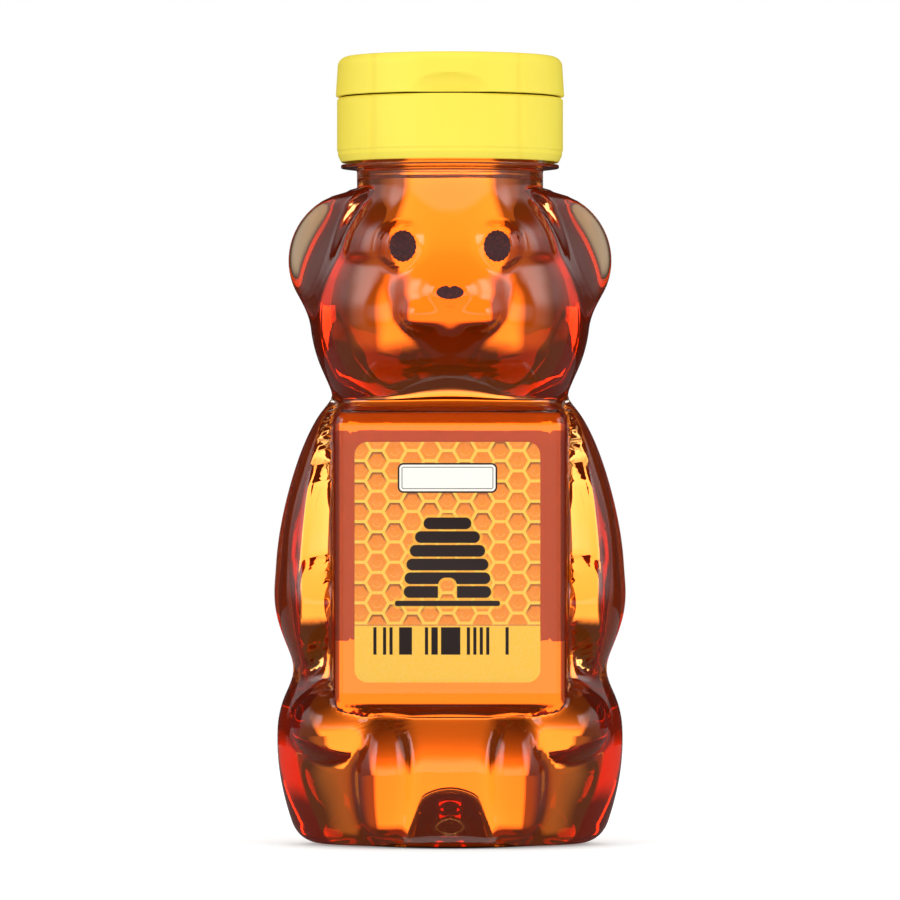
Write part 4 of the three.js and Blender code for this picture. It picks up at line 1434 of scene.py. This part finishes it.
@dataclass
class BlownSkin:
    """One skin of the blown bear: a turned parison that is pushed out to the mould."""

    mould: BearMould
    neck: NeckFinish
    inset: float
    columns: int = 232
    level_step: float = 0.00092
    face_step_share: float = 0.72
    face_levels: Pair = (0.0935, 0.127)
    edge_height: float = 0.0022
    edge_rings: int = 10
    dome_rings: int = 20
    top_share: float = 0.9995
    front_crowding: float = 0.12
    shift_share: float = 0.86
    near_reach: float = 0.0015
    parison_radius: float = 0.05

    def levels(self) -> np.ndarray:
        """Heights of the side's rings, close together at the base's edge and in the face."""
        foot = self.inset
        span = self.mould.neck_foot - foot
        edge = [foot + self.edge_height * (i / self.edge_rings) ** 2 for i in range(self.edge_rings)]
        low, high = self.face_levels
        body = np.arange(foot + self.edge_height, self.mould.neck_foot, self.level_step)
        face = np.arange(low, high, self.level_step * self.face_step_share)
        kept = body[(body < low) | (body > high)]
        return np.array(sorted([*edge, *kept, *face, foot + span * self.top_share]))

    def outline(self) -> list[Pair]:
        """The parison's points from the middle of the dome upwards."""
        mould = self.mould
        radius = mould.push_up_width / 2
        dome = []
        for share in np.linspace(0, 1, self.dome_rings):
            slope = 2 * mould.push_up_height * share / radius
            across = 1 / math.hypot(1, slope)
            out = radius * share + slope * across * self.inset
            height = mould.push_up_height * (1 - share**2) + across * self.inset
            dome.append((out if share else 0.0, height))
        foot = (radius * 1.5 + self.inset, self.inset)
        side = [(self.parison_radius, float(height)) for height in self.levels()]
        return [*dome, foot, *side]

    def squareness(self, heights: np.ndarray) -> np.ndarray:
        """Share by which the rays face squarely front and back, one up the bear and none over the neck."""
        lift = self.neck.ring_lift
        return eased(np.clip((self.mould.neck_foot + lift - heights) / lift, 0, 1))

    def side_reach(self, heights: np.ndarray) -> np.ndarray:
        """How far the bear reaches sideways about each height, the same all along its panels."""
        count = len(heights)
        starts = np.stack([np.zeros(count), np.zeros(count), heights], axis=1)
        sideways = np.tile([1.0, 0.0, 0.0], (count, 1))
        width = self.mould.search(starts, sideways, self.mould.farthest, -self.inset)
        near = self.near_reach
        narrow = np.array([width[np.abs(heights - h) < near].min() for h in heights])
        low = self.mould.panel_foot - 2 * near
        high = self.mould.panel_foot + self.mould.panel_height + 2 * near
        beside = (heights > low) & (heights < high)
        narrow[beside] = narrow[beside].min()
        return np.array([narrow[np.abs(heights - h) < near].mean() for h in heights])

    def build(self, neck_outline: Outline) -> bmesh.types.BMesh:
        """Turns the parison and pushes it out to the mould.

        Args:
            neck_outline: (radius, height) points above the side's last ring.

        Returns:
            The skin, open at its upper end where the outline ends off the axis.
        """
        bm = bmesh.new()
        rolled(bm, [*self.outline(), *neck_outline], self.columns)
        side = self.levels()
        co = np.array([v.co[:] for v in bm.verts])
        radius = np.hypot(co[:, 0], co[:, 1])
        around = np.arctan2(co[:, 1], co[:, 0]) - FRONT
        around = (around + math.pi) % (2 * math.pi) - math.pi
        around = around - self.front_crowding * np.sin(around)
        plain = np.stack([np.sin(around), -np.cos(around), np.zeros(len(co))], axis=1)
        square = self.squareness(co[:, 2])
        shift = self.shift_share * square * np.interp(co[:, 2], side, self.side_reach(side))
        ways = plain.copy()
        ways[:, 0] *= 1 - square * plain[:, 1] ** 2
        ways /= np.linalg.norm(ways, axis=1, keepdims=True)
        starts = np.stack([plain[:, 0] * shift, np.zeros(len(co)), co[:, 2]], axis=1)
        is_side = np.abs(radius - self.parison_radius) < SAME_PLACE
        found = self.mould.search(starts[is_side], ways[is_side], self.mould.farthest, -self.inset)
        placed = plain * radius[:, None]
        placed[:, 2] = co[:, 2]
        placed[is_side] = starts[is_side] + ways[is_side] * found[:, None]
        stub = ~is_side & (co[:, 2] > self.mould.neck_foot)
        along = starts[stub, 0] * ways[stub, 0]
        out = np.sqrt(along**2 + radius[stub] ** 2 - starts[stub, 0] ** 2) - along
        placed[stub] = starts[stub] + ways[stub] * out[:, None]
        for vert, place in zip(bm.verts, placed):
            vert.co = place
        face_outwards(bm)
        return bm


@dataclass
class Bear:
    """The blown bottle and its filling."""

    mould: BearMould = field(default_factory=BearMould)
    neck: NeckFinish = field(default_factory=NeckFinish)
    wall: float = 0.00075
    wetting: float = 0.0001
    headspace: float = 0.0076
    meniscus: float = 0.0008
    bore_rings: Pair = (0.008, 0.012)
    honey_ring: float = 0.006
    rim_round: float = 0.0004
    rim_flat: float = 0.00012
    smooth_end: float = 0.0006

    def rim(self) -> float:
        """Height of the rim."""
        return self.mould.neck_foot + self.neck.ring_lift + self.neck.ring_thickness + self.neck.finish_height

    def build(self) -> None:
        """Makes the bottle and the honey."""
        self.build_bottle()
        self.build_honey()

    def build_bottle(self) -> None:
        """The bottle: outer skin with its ring and thread, inner skin, joined at the rim."""
        rim = self.rim()
        foot = self.mould.neck_foot
        outer = BlownSkin(self.mould, self.neck, 0.0).build(self.neck.outline(foot)[1:])
        self.raise_thread(outer, rim)
        bore = self.neck.radius - self.neck.wall
        neck = self.neck.inner_outline(foot, self.neck.stub_radius - self.wall, bore)
        neck += [(bore, foot + rise) for rise in self.bore_rings]
        neck += [
            (bore, rim - self.rim_round),
            (bore + self.rim_flat, rim - self.rim_flat),
            (bore + self.rim_round, rim),
        ]
        inner = BlownSkin(self.mould, self.neck, self.wall).build(neck)
        bmesh.ops.reverse_faces(inner, faces=inner.faces)
        for face in inner.faces:
            face.material_index = 1
        take_in(outer, inner)
        bmesh.ops.bridge_loops(outer, edges=[edge for edge in outer.edges if edge.is_boundary])
        face_outwards(outer)
        plastic = ClearPlastic()
        bottle = finished("bear_bottle", outer, [plastic.outer(), plastic.wetted()])
        dress(bottle, Body.BEAR, Slot.CLEAR_PLASTIC, "bottle")

    def raise_thread(self, bm: bmesh.types.BMesh, rim: float) -> None:
        """Pushes the thread out of the neck."""
        low = rim - self.neck.finish_height
        high = rim - self.smooth_end
        co = np.array([v.co[:] for v in bm.verts])
        radius = np.hypot(co[:, 0], co[:, 1])
        turn = np.arctan2(co[:, 1], co[:, 0]) / (2 * math.pi) % 1.0
        rise = self.neck.thread(turn, co[:, 2], rim)
        rise[(co[:, 2] < low) | (co[:, 2] > high)] = 0.0
        for vert, out, push in zip(bm.verts, radius, rise):
            if push:
                vert.co.xy *= (out + push) / out

    def build_honey(self) -> None:
        """The filling, wetting the wall, up to a level in the neck with a hollow meniscus."""
        top = self.rim() - self.headspace
        bore = self.neck.radius - self.neck.wall + self.wetting
        foot = self.mould.neck_foot
        neck = self.neck.inner_outline(foot, self.neck.stub_radius - self.wall + self.wetting, bore)
        neck += [(bore, foot + self.honey_ring), (bore, top + self.meniscus)]
        shares = (0.94, 0.86, 0.74, 0.5, 0.25, 0.0)
        neck += [(bore * share, top + self.meniscus * share**6) for share in shares]
        skin = BlownSkin(self.mould, self.neck, self.wall - self.wetting).build(neck)
        honey = finished("honey_filling", skin, [HoneyFilling().material()])
        dress(honey, Body.BEAR, Slot.HONEY, "honey")


@dataclass
class Prints:
    """Eyes and nose, printed on the bear's skin."""

    mould: BearMould
    eye_width: float = 0.0052
    eye_height: float = 0.0061
    nose_width: float = 0.0054
    nose_height: float = 0.0027
    lift: float = 0.00006
    thickness: float = 0.00009
    steps: int = 96
    jags: tuple[tuple[float, int, float], ...] = ((0.022, 17, 1.0), (0.020, 29, 2.3), (0.014, 41, -1.0))
    nose_notch: float = 0.3
    notch_reach: float = 0.16

    def build(self) -> None:
        """Makes the three prints."""
        ink = PrintInk().material()
        spacing = self.mould.eye_spacing / 2
        eye = (self.eye_width / 2, self.eye_height / 2)
        nose = (self.nose_width / 2, self.nose_height / 2)
        left = self.oval((spacing, self.mould.eye_height), eye, 0.0, 0.7)
        right = self.oval((-spacing, self.mould.eye_height), eye, 0.0, 2.9)
        tip = self.oval((0.0, self.mould.nose_level), nose, self.nose_notch, 1.7)
        for name, bm, node in (
            ("left_eye_print", left, "left_eye"),
            ("right_eye_print", right, "right_eye"),
            ("nose_tip_print", tip, "nose_print"),
        ):
            dress(finished(name, bm, [ink], 60), Body.BEAR, Slot.PRINT_INK, node)

    def oval(self, middle: Pair, half: Pair, notch: float, phase: float) -> bmesh.types.BMesh:
        """Lays one oval print with a jagged edge on the skin.

        Args:
            middle: Place of its middle across and its height.
            half: Its half width and half height.
            notch: Share of its height that a notch at the top takes.
            phase: Angle that shifts the jags.

        Returns:
            The print's mesh.
        """
        bm = bmesh.new()
        bmesh.ops.create_circle(bm, cap_ends=True, radius=1.0, segments=self.steps)
        for inset in (0.072, 0.18, 0.18, 0.27):
            inner = [face for face in bm.faces if len(face.verts) == self.steps]
            bmesh.ops.inset_region(bm, faces=inner, thickness=inset, use_even_offset=False)
        bmesh.ops.poke(bm, faces=[face for face in bm.faces if len(face.verts) == self.steps])
        co = np.array([v.co[:] for v in bm.verts])
        angle = np.arctan2(co[:, 1], co[:, 0])
        radius = np.hypot(co[:, 0], co[:, 1])
        jag = 1 + radius**4 * sum(size * np.sin(waves * angle + by * phase) for size, waves, by in self.jags)
        across = co[:, 0] * jag
        up = co[:, 1] * jag
        up = np.where(up > 0, up * (1 - notch * np.exp(-((across / self.notch_reach) ** 2))), up)
        places = np.stack([middle[0] + across * half[0], middle[1] + up * half[1]], axis=1)
        on_skin = self.mould.front_of(places)
        ways = self.mould.outward(on_skin)
        for vert, place, way in zip(bm.verts, on_skin, ways):
            vert.co = place + way * (self.lift + self.thickness)
        bmesh.ops.recalc_face_normals(bm, faces=bm.faces)
        if bm.faces[0].normal.y > 0:
            bmesh.ops.reverse_faces(bm, faces=bm.faces)
        bmesh.ops.solidify(bm, geom=list(bm.faces), thickness=self.thickness)
        bmesh.ops.recalc_face_normals(bm, faces=bm.faces)
        return bm


@dataclass
class Labels:
    """The front label and the back label."""

    round: float = 0.0026
    edge: float = 0.00005

    def build(self) -> None:
        """Makes both labels where the frame has them."""
        for node, finish in (("front_label", FrontLabelPrint), ("back_label", BackLabelPrint)):
            low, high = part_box(node)
            film = finish(high - low, (low + high) / 2).material()
            piece = finished(f"{node}_film", self.plate(low, high), [film], 40)
            dress(piece, Body.BEAR, Slot.LABEL_FILM, node)

    def plate(self, low: Vector, high: Vector) -> bmesh.types.BMesh:
        """A thin upright plate between two corners, with round corners and a softened edge."""
        bm = bmesh.new()
        block(bm, low, high)
        soft = {"affect": "EDGES", "profile": 0.5, "material": -1}
        upright = [e for e in bm.edges if abs(e.verts[0].co.y - e.verts[1].co.y) > (high.y - low.y) / 2]
        bmesh.ops.bevel(bm, geom=upright, offset=self.round, segments=8, **soft)
        rims = list({edge for face in bm.faces if abs(face.normal.y) > 0.9 for edge in face.edges})
        bmesh.ops.bevel(bm, geom=rims, offset=self.edge, segments=2, **soft)
        return bm


@dataclass
class Closure:
    """The flip-top closure: threaded body, liner, lid and living hinge."""

    neck: NeckFinish = field(default_factory=NeckFinish)
    wall: float = 0.0012
    chamfer: float = 0.0014
    step_line: float = 0.0021
    step_depth: float = 0.00018
    sleeve_wall: float = 0.00115
    sleeve_lift: float = 0.0016
    root_gap: float = 0.00035
    thread_gap: float = 0.0004
    deck_thickness: float = 0.0012
    deck_edge: float = 0.0004
    liner_thickness: float = 0.0005
    seal_wall: float = 0.0008
    seal_depth: float = 0.0022
    seal_gap: float = 0.0005
    spout_radius: float = 0.0055
    orifice_radius: float = 0.0032
    touch_gap: float = 0.0003
    lid_taper: float = 0.0005
    lid_wall: float = 0.0013
    lid_top_thickness: float = 0.0014
    lid_round: float = 0.0020
    inner_round: float = 0.0008
    plug_wall: float = 0.0008
    plug_gap: float = 0.0004
    plug_depth: float = 0.0018
    spout_ring_wall: float = 0.0008
    scoop_width: float = 0.021
    scoop_height: float = 0.0037
    scoop_depth: float = 0.0019
    hinge_band: float = 0.0019
    hinge_middle_band: float = 0.0030
    hinge_tie: float = 0.0012
    hinge_film_share: float = 1 / 3
    hinge_rows: int = 20
    bend_reach: float = 0.0006
    sunk: float = 0.0002
    proud: float = 0.00001
    fine_round: float = 0.0002
    edge_round: float = 0.00025
    skirt_round: float = 0.0003
    chamfer_rounds: Pair = (0.00035, 0.0005)
    step_round: float = 0.0001
    step_slope: float = 0.0003
    deck_round: float = 0.00015
    spout_rounds: tuple[float, float, float] = (0.0006, 0.0009, 0.0004)
    scoop_clear: float = 0.001
    marks: Pair = (-0.0154, 0.0139)
    columns: int = 176
    lid_columns: int = 240
    liner_columns: int = 128

    def build(self) -> None:
        """Makes the four pieces."""
        self.build_body()
        self.build_liner()
        self.build_lid()
        self.build_hinge()

    def deck_top(self) -> float:
        """Height of the deck's upper face, a gap below the lid."""
        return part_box("flip_lid")[0].z - self.touch_gap

    def build_body(self) -> None:
        """Skirt, sleeve, deck, seal ring and spout as one turned shell, with the thread inside."""
        low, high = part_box("closure_body")
        radius = high.x
        foot = low.z
        deck = self.deck_top()
        under = deck - self.deck_thickness
        seal = self.neck.radius - self.neck.wall - self.seal_gap
        bore = self.neck.thread_radius + self.root_gap
        sleeve = bore + self.sleeve_wall
        sleeve_foot = foot + self.sleeve_lift
        skirt = radius - self.wall
        line = foot + self.step_line
        edge = self.edge_round
        foot_round, top_round = self.chamfer_rounds
        root, lip, mouth = self.spout_rounds
        corners = [
            ((self.orifice_radius, under), self.fine_round),
            ((seal - self.seal_wall, under), None),
            ((seal - self.seal_wall, under - self.seal_depth), edge),
            ((seal, under - self.seal_depth), edge),
            ((seal, under), None),
            ((bore, under), None),
            ((bore, sleeve_foot), edge),
            ((sleeve, sleeve_foot), edge),
            ((sleeve, under), None),
            ((skirt, under), None),
            ((skirt, foot), self.skirt_round),
            ((radius - self.chamfer * 0.6, foot), foot_round),
            ((radius - self.step_depth, foot + self.chamfer), top_round),
            ((radius - self.step_depth, line), self.step_round),
            ((radius, line + self.step_slope), self.step_round),
            ((radius, deck - self.deck_edge), self.deck_round),
            ((radius - self.deck_edge, deck), self.deck_round),
            ((self.spout_radius, deck), root),
            ((self.spout_radius, high.z), lip),
            ((self.orifice_radius, high.z), mouth),
        ]
        radii = {i: r for i, (_, r) in enumerate(corners) if r}
        bm = bmesh.new()
        turned(bm, rounded([point for point, _ in corners], radii), self.columns)
        take_in(bm, self.thread(under, bore))
        material = MouldedYellow().material("closure_yellow", self.marks)
        piece = finished("closure_shell", bm, [material], 50)
        dress(piece, Body.CLOSURE, Slot.YELLOW_PLASTIC, "closure_body")

    def thread(self, under: float, bore: float) -> bmesh.types.BMesh:
        """The thread inside the sleeve, half a pitch below the neck's own.

        Args:
            under: Height of the deck's lower face.
            bore: Radius of the sleeve's bore.

        Returns:
            The ridge's mesh, sunk a little into the sleeve.
        """
        neck = self.neck
        rim = under - 2 * self.touch_gap - self.liner_thickness
        start = rim - neck.thread_drop - (neck.thread_turns + 0.5) * neck.thread_pitch
        crest = neck.radius + self.thread_gap
        root = bore + self.sunk
        half_foot = neck.thread_foot_width / 2
        half_crest = neck.thread_crest_width / 2
        section = [(root, -half_foot), (crest, -half_crest), (crest, half_crest), (root, half_foot)]
        ridge = bmesh.new()
        coiled_ridge(ridge, section, start, neck.thread_pitch, neck.thread_turns)
        return ridge

    def build_liner(self) -> None:
        """A flat ring with softened edges."""
        low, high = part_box("cap_liner")
        hole = self.neck.radius - self.neck.wall - self.seal_gap + self.touch_gap
        points = [(hole, low.z), (high.x, low.z), (high.x, high.z), (hole, high.z)]
        soft = (high.z - low.z) * 0.3
        bm = bmesh.new()
        turned(bm, rounded(points, dict.fromkeys(range(4), soft), 3), self.liner_columns)
        piece = finished("liner_ring", bm, [LinerFoam().material()], 60)
        dress(piece, Body.LINER, Slot.LINER_FOAM, "cap_liner")

    def scooped(self, vert: Vector, radius: float, foot: float, grow: float) -> Vector:
        """Moves a point of the lid's front in behind the thumb scoop's egg.

        Args:
            vert: The point.
            radius: Radius of the lid's foot, where the egg's middle lies.
            foot: Height of the lid's foot.
            grow: How much larger than the outer egg the egg for this wall is.

        Returns:
            The moved point.
        """
        across = vert.x / (self.scoop_width / 2 + grow)
        up = (vert.z - foot) / (self.scoop_height + grow)
        inside = 1 - across * across - up * up
        if inside <= 0 or vert.y > 0:
            return vert
        bottom = -radius + (self.scoop_depth + grow) * math.sqrt(inside)
        return Vector((vert.x, max(vert.y, bottom), vert.z))

    def build_lid(self) -> None:
        """A cup with a thumb scoop at its front, a hollow plug and a ring for the spout."""
        low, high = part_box("flip_lid")
        radius = high.x
        foot = low.z
        top_radius = radius - self.lid_taper
        ceiling = high.z - self.lid_top_thickness
        spout_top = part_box("closure_body")[1].z
        reach = spout_top - self.plug_depth
        plug = self.orifice_radius - self.plug_gap
        ring = self.spout_radius + self.plug_gap
        ring_outer = ring + self.spout_ring_wall
        side = [
            ((radius - self.lid_taper * share, foot + (high.z - foot) * share), None)
            for share in np.linspace(0, 1, 20)[1:-1]
            if foot + (high.z - foot) * share <= high.z - self.lid_round * 1.1
        ]
        inner_side = [
            ((top_radius - self.lid_wall + self.lid_taper * share, ceiling - (ceiling - foot) * share), None)
            for share in np.linspace(0, 1, 18)[1:-1]
        ]
        fine = self.fine_round
        corners = [
            ((radius, foot), self.edge_round),
            *side,
            ((top_radius, high.z), self.lid_round),
            ((0.0, high.z), None),
            ((0.0, ceiling), None),
            ((plug - self.plug_wall, ceiling), None),
            ((plug - self.plug_wall, reach), fine),
            ((plug, reach), fine),
            ((plug, ceiling), None),
            ((ring, ceiling), None),
            ((ring, reach), fine),
            ((ring_outer, reach), fine),
            ((ring_outer, ceiling), None),
            ((top_radius - self.lid_wall, ceiling), self.inner_round),
            *inner_side,
            ((radius - self.lid_wall, foot), self.edge_round),
        ]
        radii = {i: r for i, (_, r) in enumerate(corners) if r}
        outline = rounded([point for point, _ in corners], radii, 7)
        cut = next(i for i, (out, _) in enumerate(outline) if out == 0.0)
        bm = bmesh.new()
        rolled(bm, outline[cut + 1 :] + outline[: cut + 1], self.lid_columns)
        split = radius - self.lid_wall * 0.75 - self.lid_taper * 0.5
        for vert in bm.verts:
            out = math.hypot(vert.co.x, vert.co.y)
            if out > ring_outer + self.scoop_clear:
                vert.co = self.scooped(vert.co, radius, foot, 0.0 if out > split else self.lid_wall)
        face_outwards(bm)
        material = MouldedYellow().material("lid_yellow", self.marks)
        piece = finished("flip_lid_shell", bm, [material], 50)
        dress(piece, Body.LID, Slot.YELLOW_PLASTIC, "flip_lid")

    def build_hinge(self) -> None:
        """Three bands across the seam, thin along the line that bends, and the ties between them."""
        low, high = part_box("living_hinge")
        film = (high.y - low.y) * self.hinge_film_share
        half = self.hinge_middle_band / 2
        bands = ((low.x, low.x + self.hinge_band), (-half, half), (high.x - self.hinge_band, high.x))
        bm = bmesh.new()
        for left, right in bands:
            self.band(bm, Vector((left, low.y, low.z)), Vector((right, high.y, high.z)), film)
        inset = Vector((-self.sunk, self.proud, self.proud))
        for foot, top in ((low.z, low.z + self.hinge_tie), (high.z - self.hinge_tie, high.z)):
            for (_, left), (right, _) in zip(bands, bands[1:]):
                block(bm, Vector((left, low.y, foot)) + inset, Vector((right, high.y, top)) - inset)
        bmesh.ops.recalc_face_normals(bm, faces=bm.faces)
        piece = finished("hinge_bands", bm, [MouldedYellow().material("hinge_yellow")], 40)
        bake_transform(piece)
        dress(piece, None, Slot.YELLOW_PLASTIC, "living_hinge")

    def band(self, bm: bmesh.types.BMesh, low: Vector, high: Vector, film: float) -> None:
        """Adds one band.

        Args:
            bm: The hinge's mesh.
            low: Lowest corner of the band.
            high: Highest corner.
            film: What is left of its thickness along the line that bends.
        """
        known = set(bm.verts)
        edges = {edge for vert in block(bm, low, high) for edge in vert.link_edges}
        upright = [edge for edge in edges if abs(edge.verts[0].co.z - edge.verts[1].co.z) > self.proud]
        bmesh.ops.subdivide_edges(bm, edges=upright, cuts=self.hinge_rows, use_grid_fill=True)
        middle = (low + high) / 2
        reach = high.y - low.y - film
        for vert in set(bm.verts) - known:
            if vert.co.y > middle.y:
                away = min(abs(vert.co.z - middle.z) / reach, 1.0)
                vert.co.y = low.y + film + reach * eased(away)


# Floor, light and camera


@dataclass
class Studio:
    """Pale floor, white surround, soft light and the level camera in front."""

    camera_distance: float = 1.4
    camera_height: float = 0.0786
    field_width: float = 0.18
    sensor: float = 0.036
    floor_radius: float = 0.42
    floor_sides: int = 96
    floor_drop: float = 0.0002
    floor_glow: float = 0.30
    # Radii over which the painted light seen through the bottle rises out of the painted shadow round the
    # bottle's foot.
    painted_shadow_fade: Pair = (0.02, 0.26)
    plain: float = 0.62
    back_light: float = 2.6
    side_light: float = 0.9
    gap_light: float = 0.07
    shoulder_light: float = 0.40
    # Least painted light on the floor, left inside that painted shadow.
    shadow_light: float = 0.12
    window_light: float = 2.7
    window_dip: float = 0.6
    window_fade: float = 0.7
    front_light: float = 1.0
    back_fall: Pair = (0.38, 0.27)
    side_shift: float = 0.06
    side_fall: Pair = (0.60, 0.48)
    front_rise: Pair = (-0.50, -0.80)
    shoulder_fall: Pair = (0.70, 0.40)
    horizon_fall: Pair = (0.30, 0.18)
    window_rise: Pair = (-0.10, 0.40)
    window_top: Pair = (0.66, 0.50)
    window_foot: Pair = (-0.30, -0.16)

    def build(self) -> None:
        """Makes the stage, the lamps, the world and the camera."""
        self.build_floor()
        self.build_world()
        self.build_lamps()
        self.build_camera()
        bpy.context.scene.view_settings.view_transform = "Standard"

    def sectors(self, x: Sock, y: Sock) -> tuple[Sock, Sock, Sock]:
        """How far a level direction points to the back, to either side and to the front, 0 to 1 each."""
        flat = (x * x + y * y).root().most(SHORTEST)
        along = y / flat
        back = (abs(x) / flat).rising(*self.back_fall) * along.above(0.0)
        sides = abs(along + self.side_shift).rising(*self.side_fall)
        return back, sides, along.rising(*self.front_rise)

    def shoulder(self, x: Sock, y: Sock) -> Sock:
        """Fall of the light on either side of the bright back."""
        flat = (x * x + y * y).root().most(SHORTEST)
        return (abs(x) / flat).rising(*self.shoulder_fall) * y.above(0.0) * self.shoulder_light

    def seen_through(self, x: Sock, y: Sock) -> Sock:
        """Brightness of what lies round the bottle for rays that come through it."""
        back, sides, front = self.sectors(x, y)
        found = (back * self.back_light).most(sides * self.side_light)
        return found.most(front * self.front_light).most(self.gap_light)

    def build_floor(self) -> None:
        """A round pale floor that keeps the bottle's shadow for the camera. Rays through the bottle see painted
        light on it instead: bright lobes round the middle, with a painted shadow round the bottle's foot.
        """
        bm = bmesh.new()
        bmesh.ops.create_circle(bm, cap_ends=True, radius=self.floor_radius, segments=self.floor_sides)
        floor = bpy.data.objects.new("floor", bpy.data.meshes.new("floor"))
        bm.to_mesh(floor.data)
        bm.free()
        bpy.context.scene.collection.objects.link(floor)
        floor.location.z = -self.floor_drop
        material, desk = new_material("pale_floor")
        floor.data.materials.append(material)
        paths = desk.add("ShaderNodeLightPath")
        seen = desk.value(paths, "Is Camera Ray")
        through = desk.value(paths, "Is Transmission Ray")
        x, y, _ = desk.place()
        away = (x * x + y * y).root()
        # Rays through the bottle see none of the lit paper, and glossy rays see only a fifth of it; they get
        # the painted light below instead.
        direct = 1.0 - through.most(desk.value(paths, "Is Glossy Ray") * 0.8)
        colour = desk.blend(direct, (0.0, 0.0, 0.0), linear(245, 244, 242))
        paper = desk.add("ShaderNodeBsdfDiffuse", {}, {"Color": colour})
        # Painted light for rays through the bottle: lobes of light by direction from the middle, darkened to a
        # painted shadow near the bottle's foot but never below the shadow light.
        lit = (self.seen_through(x, y) * away.rising(*self.painted_shadow_fade)).most(self.shadow_light)
        glow = seen * self.floor_glow + through * lit
        light = desk.add("ShaderNodeEmission", {}, {"Color": (1.0, 1.0, 1.0, 1.0), "Strength": glow})
        both = desk.add("ShaderNodeAddShader", {}, {0: desk.value(paper), 1: desk.value(light)})
        desk.add("ShaderNodeOutputMaterial", {}, {"Surface": desk.value(both)})
        floor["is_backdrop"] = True

    def build_world(self) -> None:
        """White to the camera, plain grey to matt surfaces, lobes of light to glass and gloss."""
        world = bpy.data.worlds.new("white_surround")
        world.use_nodes = True
        bpy.context.scene.world = world
        desk = Desk(world.node_tree)
        paths = desk.add("ShaderNodeLightPath")
        seen = desk.value(paths, "Is Camera Ray")
        through = desk.value(paths, "Is Transmission Ray")
        mirrored = desk.value(paths, "Is Glossy Ray") * (1.0 - through)
        coordinates = desk.add("ShaderNodeTexCoord")
        parts = desk.add("ShaderNodeSeparateXYZ", {}, {0: desk.value(coordinates, "Generated")})
        x, y, z = (desk.value(parts, i) for i in range(3))
        low = z.rising(*self.horizon_fall)
        round_it = self.seen_through(x, y).most(self.shoulder(x, y))
        behind = (round_it - self.gap_light) * low + self.gap_light
        _, sides, front = self.sectors(x, y)
        bright = z.rising(*self.window_rise) * self.window_light + 0.5
        windows = sides * bright * z.rising(*self.window_top)
        windows = windows * (1.0 - abs(y + 0.03).rising(0.36, 0.12) * self.window_dip)
        windows = windows * (1.0 - y.rising(0.0, 0.30) * self.window_fade)
        facing = front * self.front_light * abs(z + 0.01).rising(0.20, 0.06)
        glossy = (windows * z.rising(*self.window_foot)).most(facing) + 0.02
        matt = (1.0 - seen - through - mirrored) * self.plain
        strength = seen + through * behind + mirrored * glossy + matt
        inputs = {"Color": (1.0, 1.0, 1.0, 1.0), "Strength": strength}
        background = desk.add("ShaderNodeBackground", {}, inputs)
        desk.add("ShaderNodeOutputWorld", {}, {"Surface": desk.value(background)})

    def build_lamps(self) -> None:
        """Two soft boxes in front, left and right, and one overhead."""
        places = {
            "key_left": ((-0.75, -0.75, 0.55), (0.5, 0.7), 4.0),
            "key_right": ((0.75, -0.75, 0.55), (0.5, 0.7), 4.0),
            "top": ((0.0, 0.1, 1.1), (0.8, 0.8), 2.8),
        }
        for name, (place, size, power) in places.items():
            lamp = bpy.data.lights.new(name, "AREA")
            lamp.shape = "RECTANGLE"
            lamp.size, lamp.size_y = size
            lamp.energy = power
            holder = bpy.data.objects.new(name, lamp)
            holder.location = place
            aim = Vector((0, 0, 0.08)) - Vector(place)
            holder.rotation_euler = aim.to_track_quat("-Z", "Y").to_euler()
            holder.visible_camera = False
            holder.visible_glossy = False
            bpy.context.scene.collection.objects.link(holder)

    def build_camera(self) -> None:
        """A long lens, level with the middle of the picture."""
        camera = bpy.data.cameras.new("camera")
        camera.sensor_width = self.sensor * 1000
        camera.lens = camera.sensor_width * self.camera_distance / self.field_width
        camera.clip_end = 20
        holder = bpy.data.objects.new("camera", camera)
        level = Matrix.Rotation(math.pi / 2, 4, "X")
        holder.matrix_world = Matrix.Translation((0, -self.camera_distance, self.camera_height)) @ level
        bpy.context.scene.collection.objects.link(holder)
        bpy.context.scene.camera = holder


def corners(box: tuple[Vector, Vector]) -> list[list[float]]:
    """A box's two corners as plain lists."""
    return [list(corner) for corner in box]


def main() -> None:
    """Builds the dressed bottle round the frame."""
    logging.basicConfig(level=logging.INFO, format="%(name)s: %(message)s")
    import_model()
    cad_box = corners(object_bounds())
    bear = Bear()
    bear.build()
    Prints(bear.mould).build()
    Labels().build()
    Closure().build()
    Studio().build()
    corners(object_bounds())


if __name__ == "__main__":
    main()
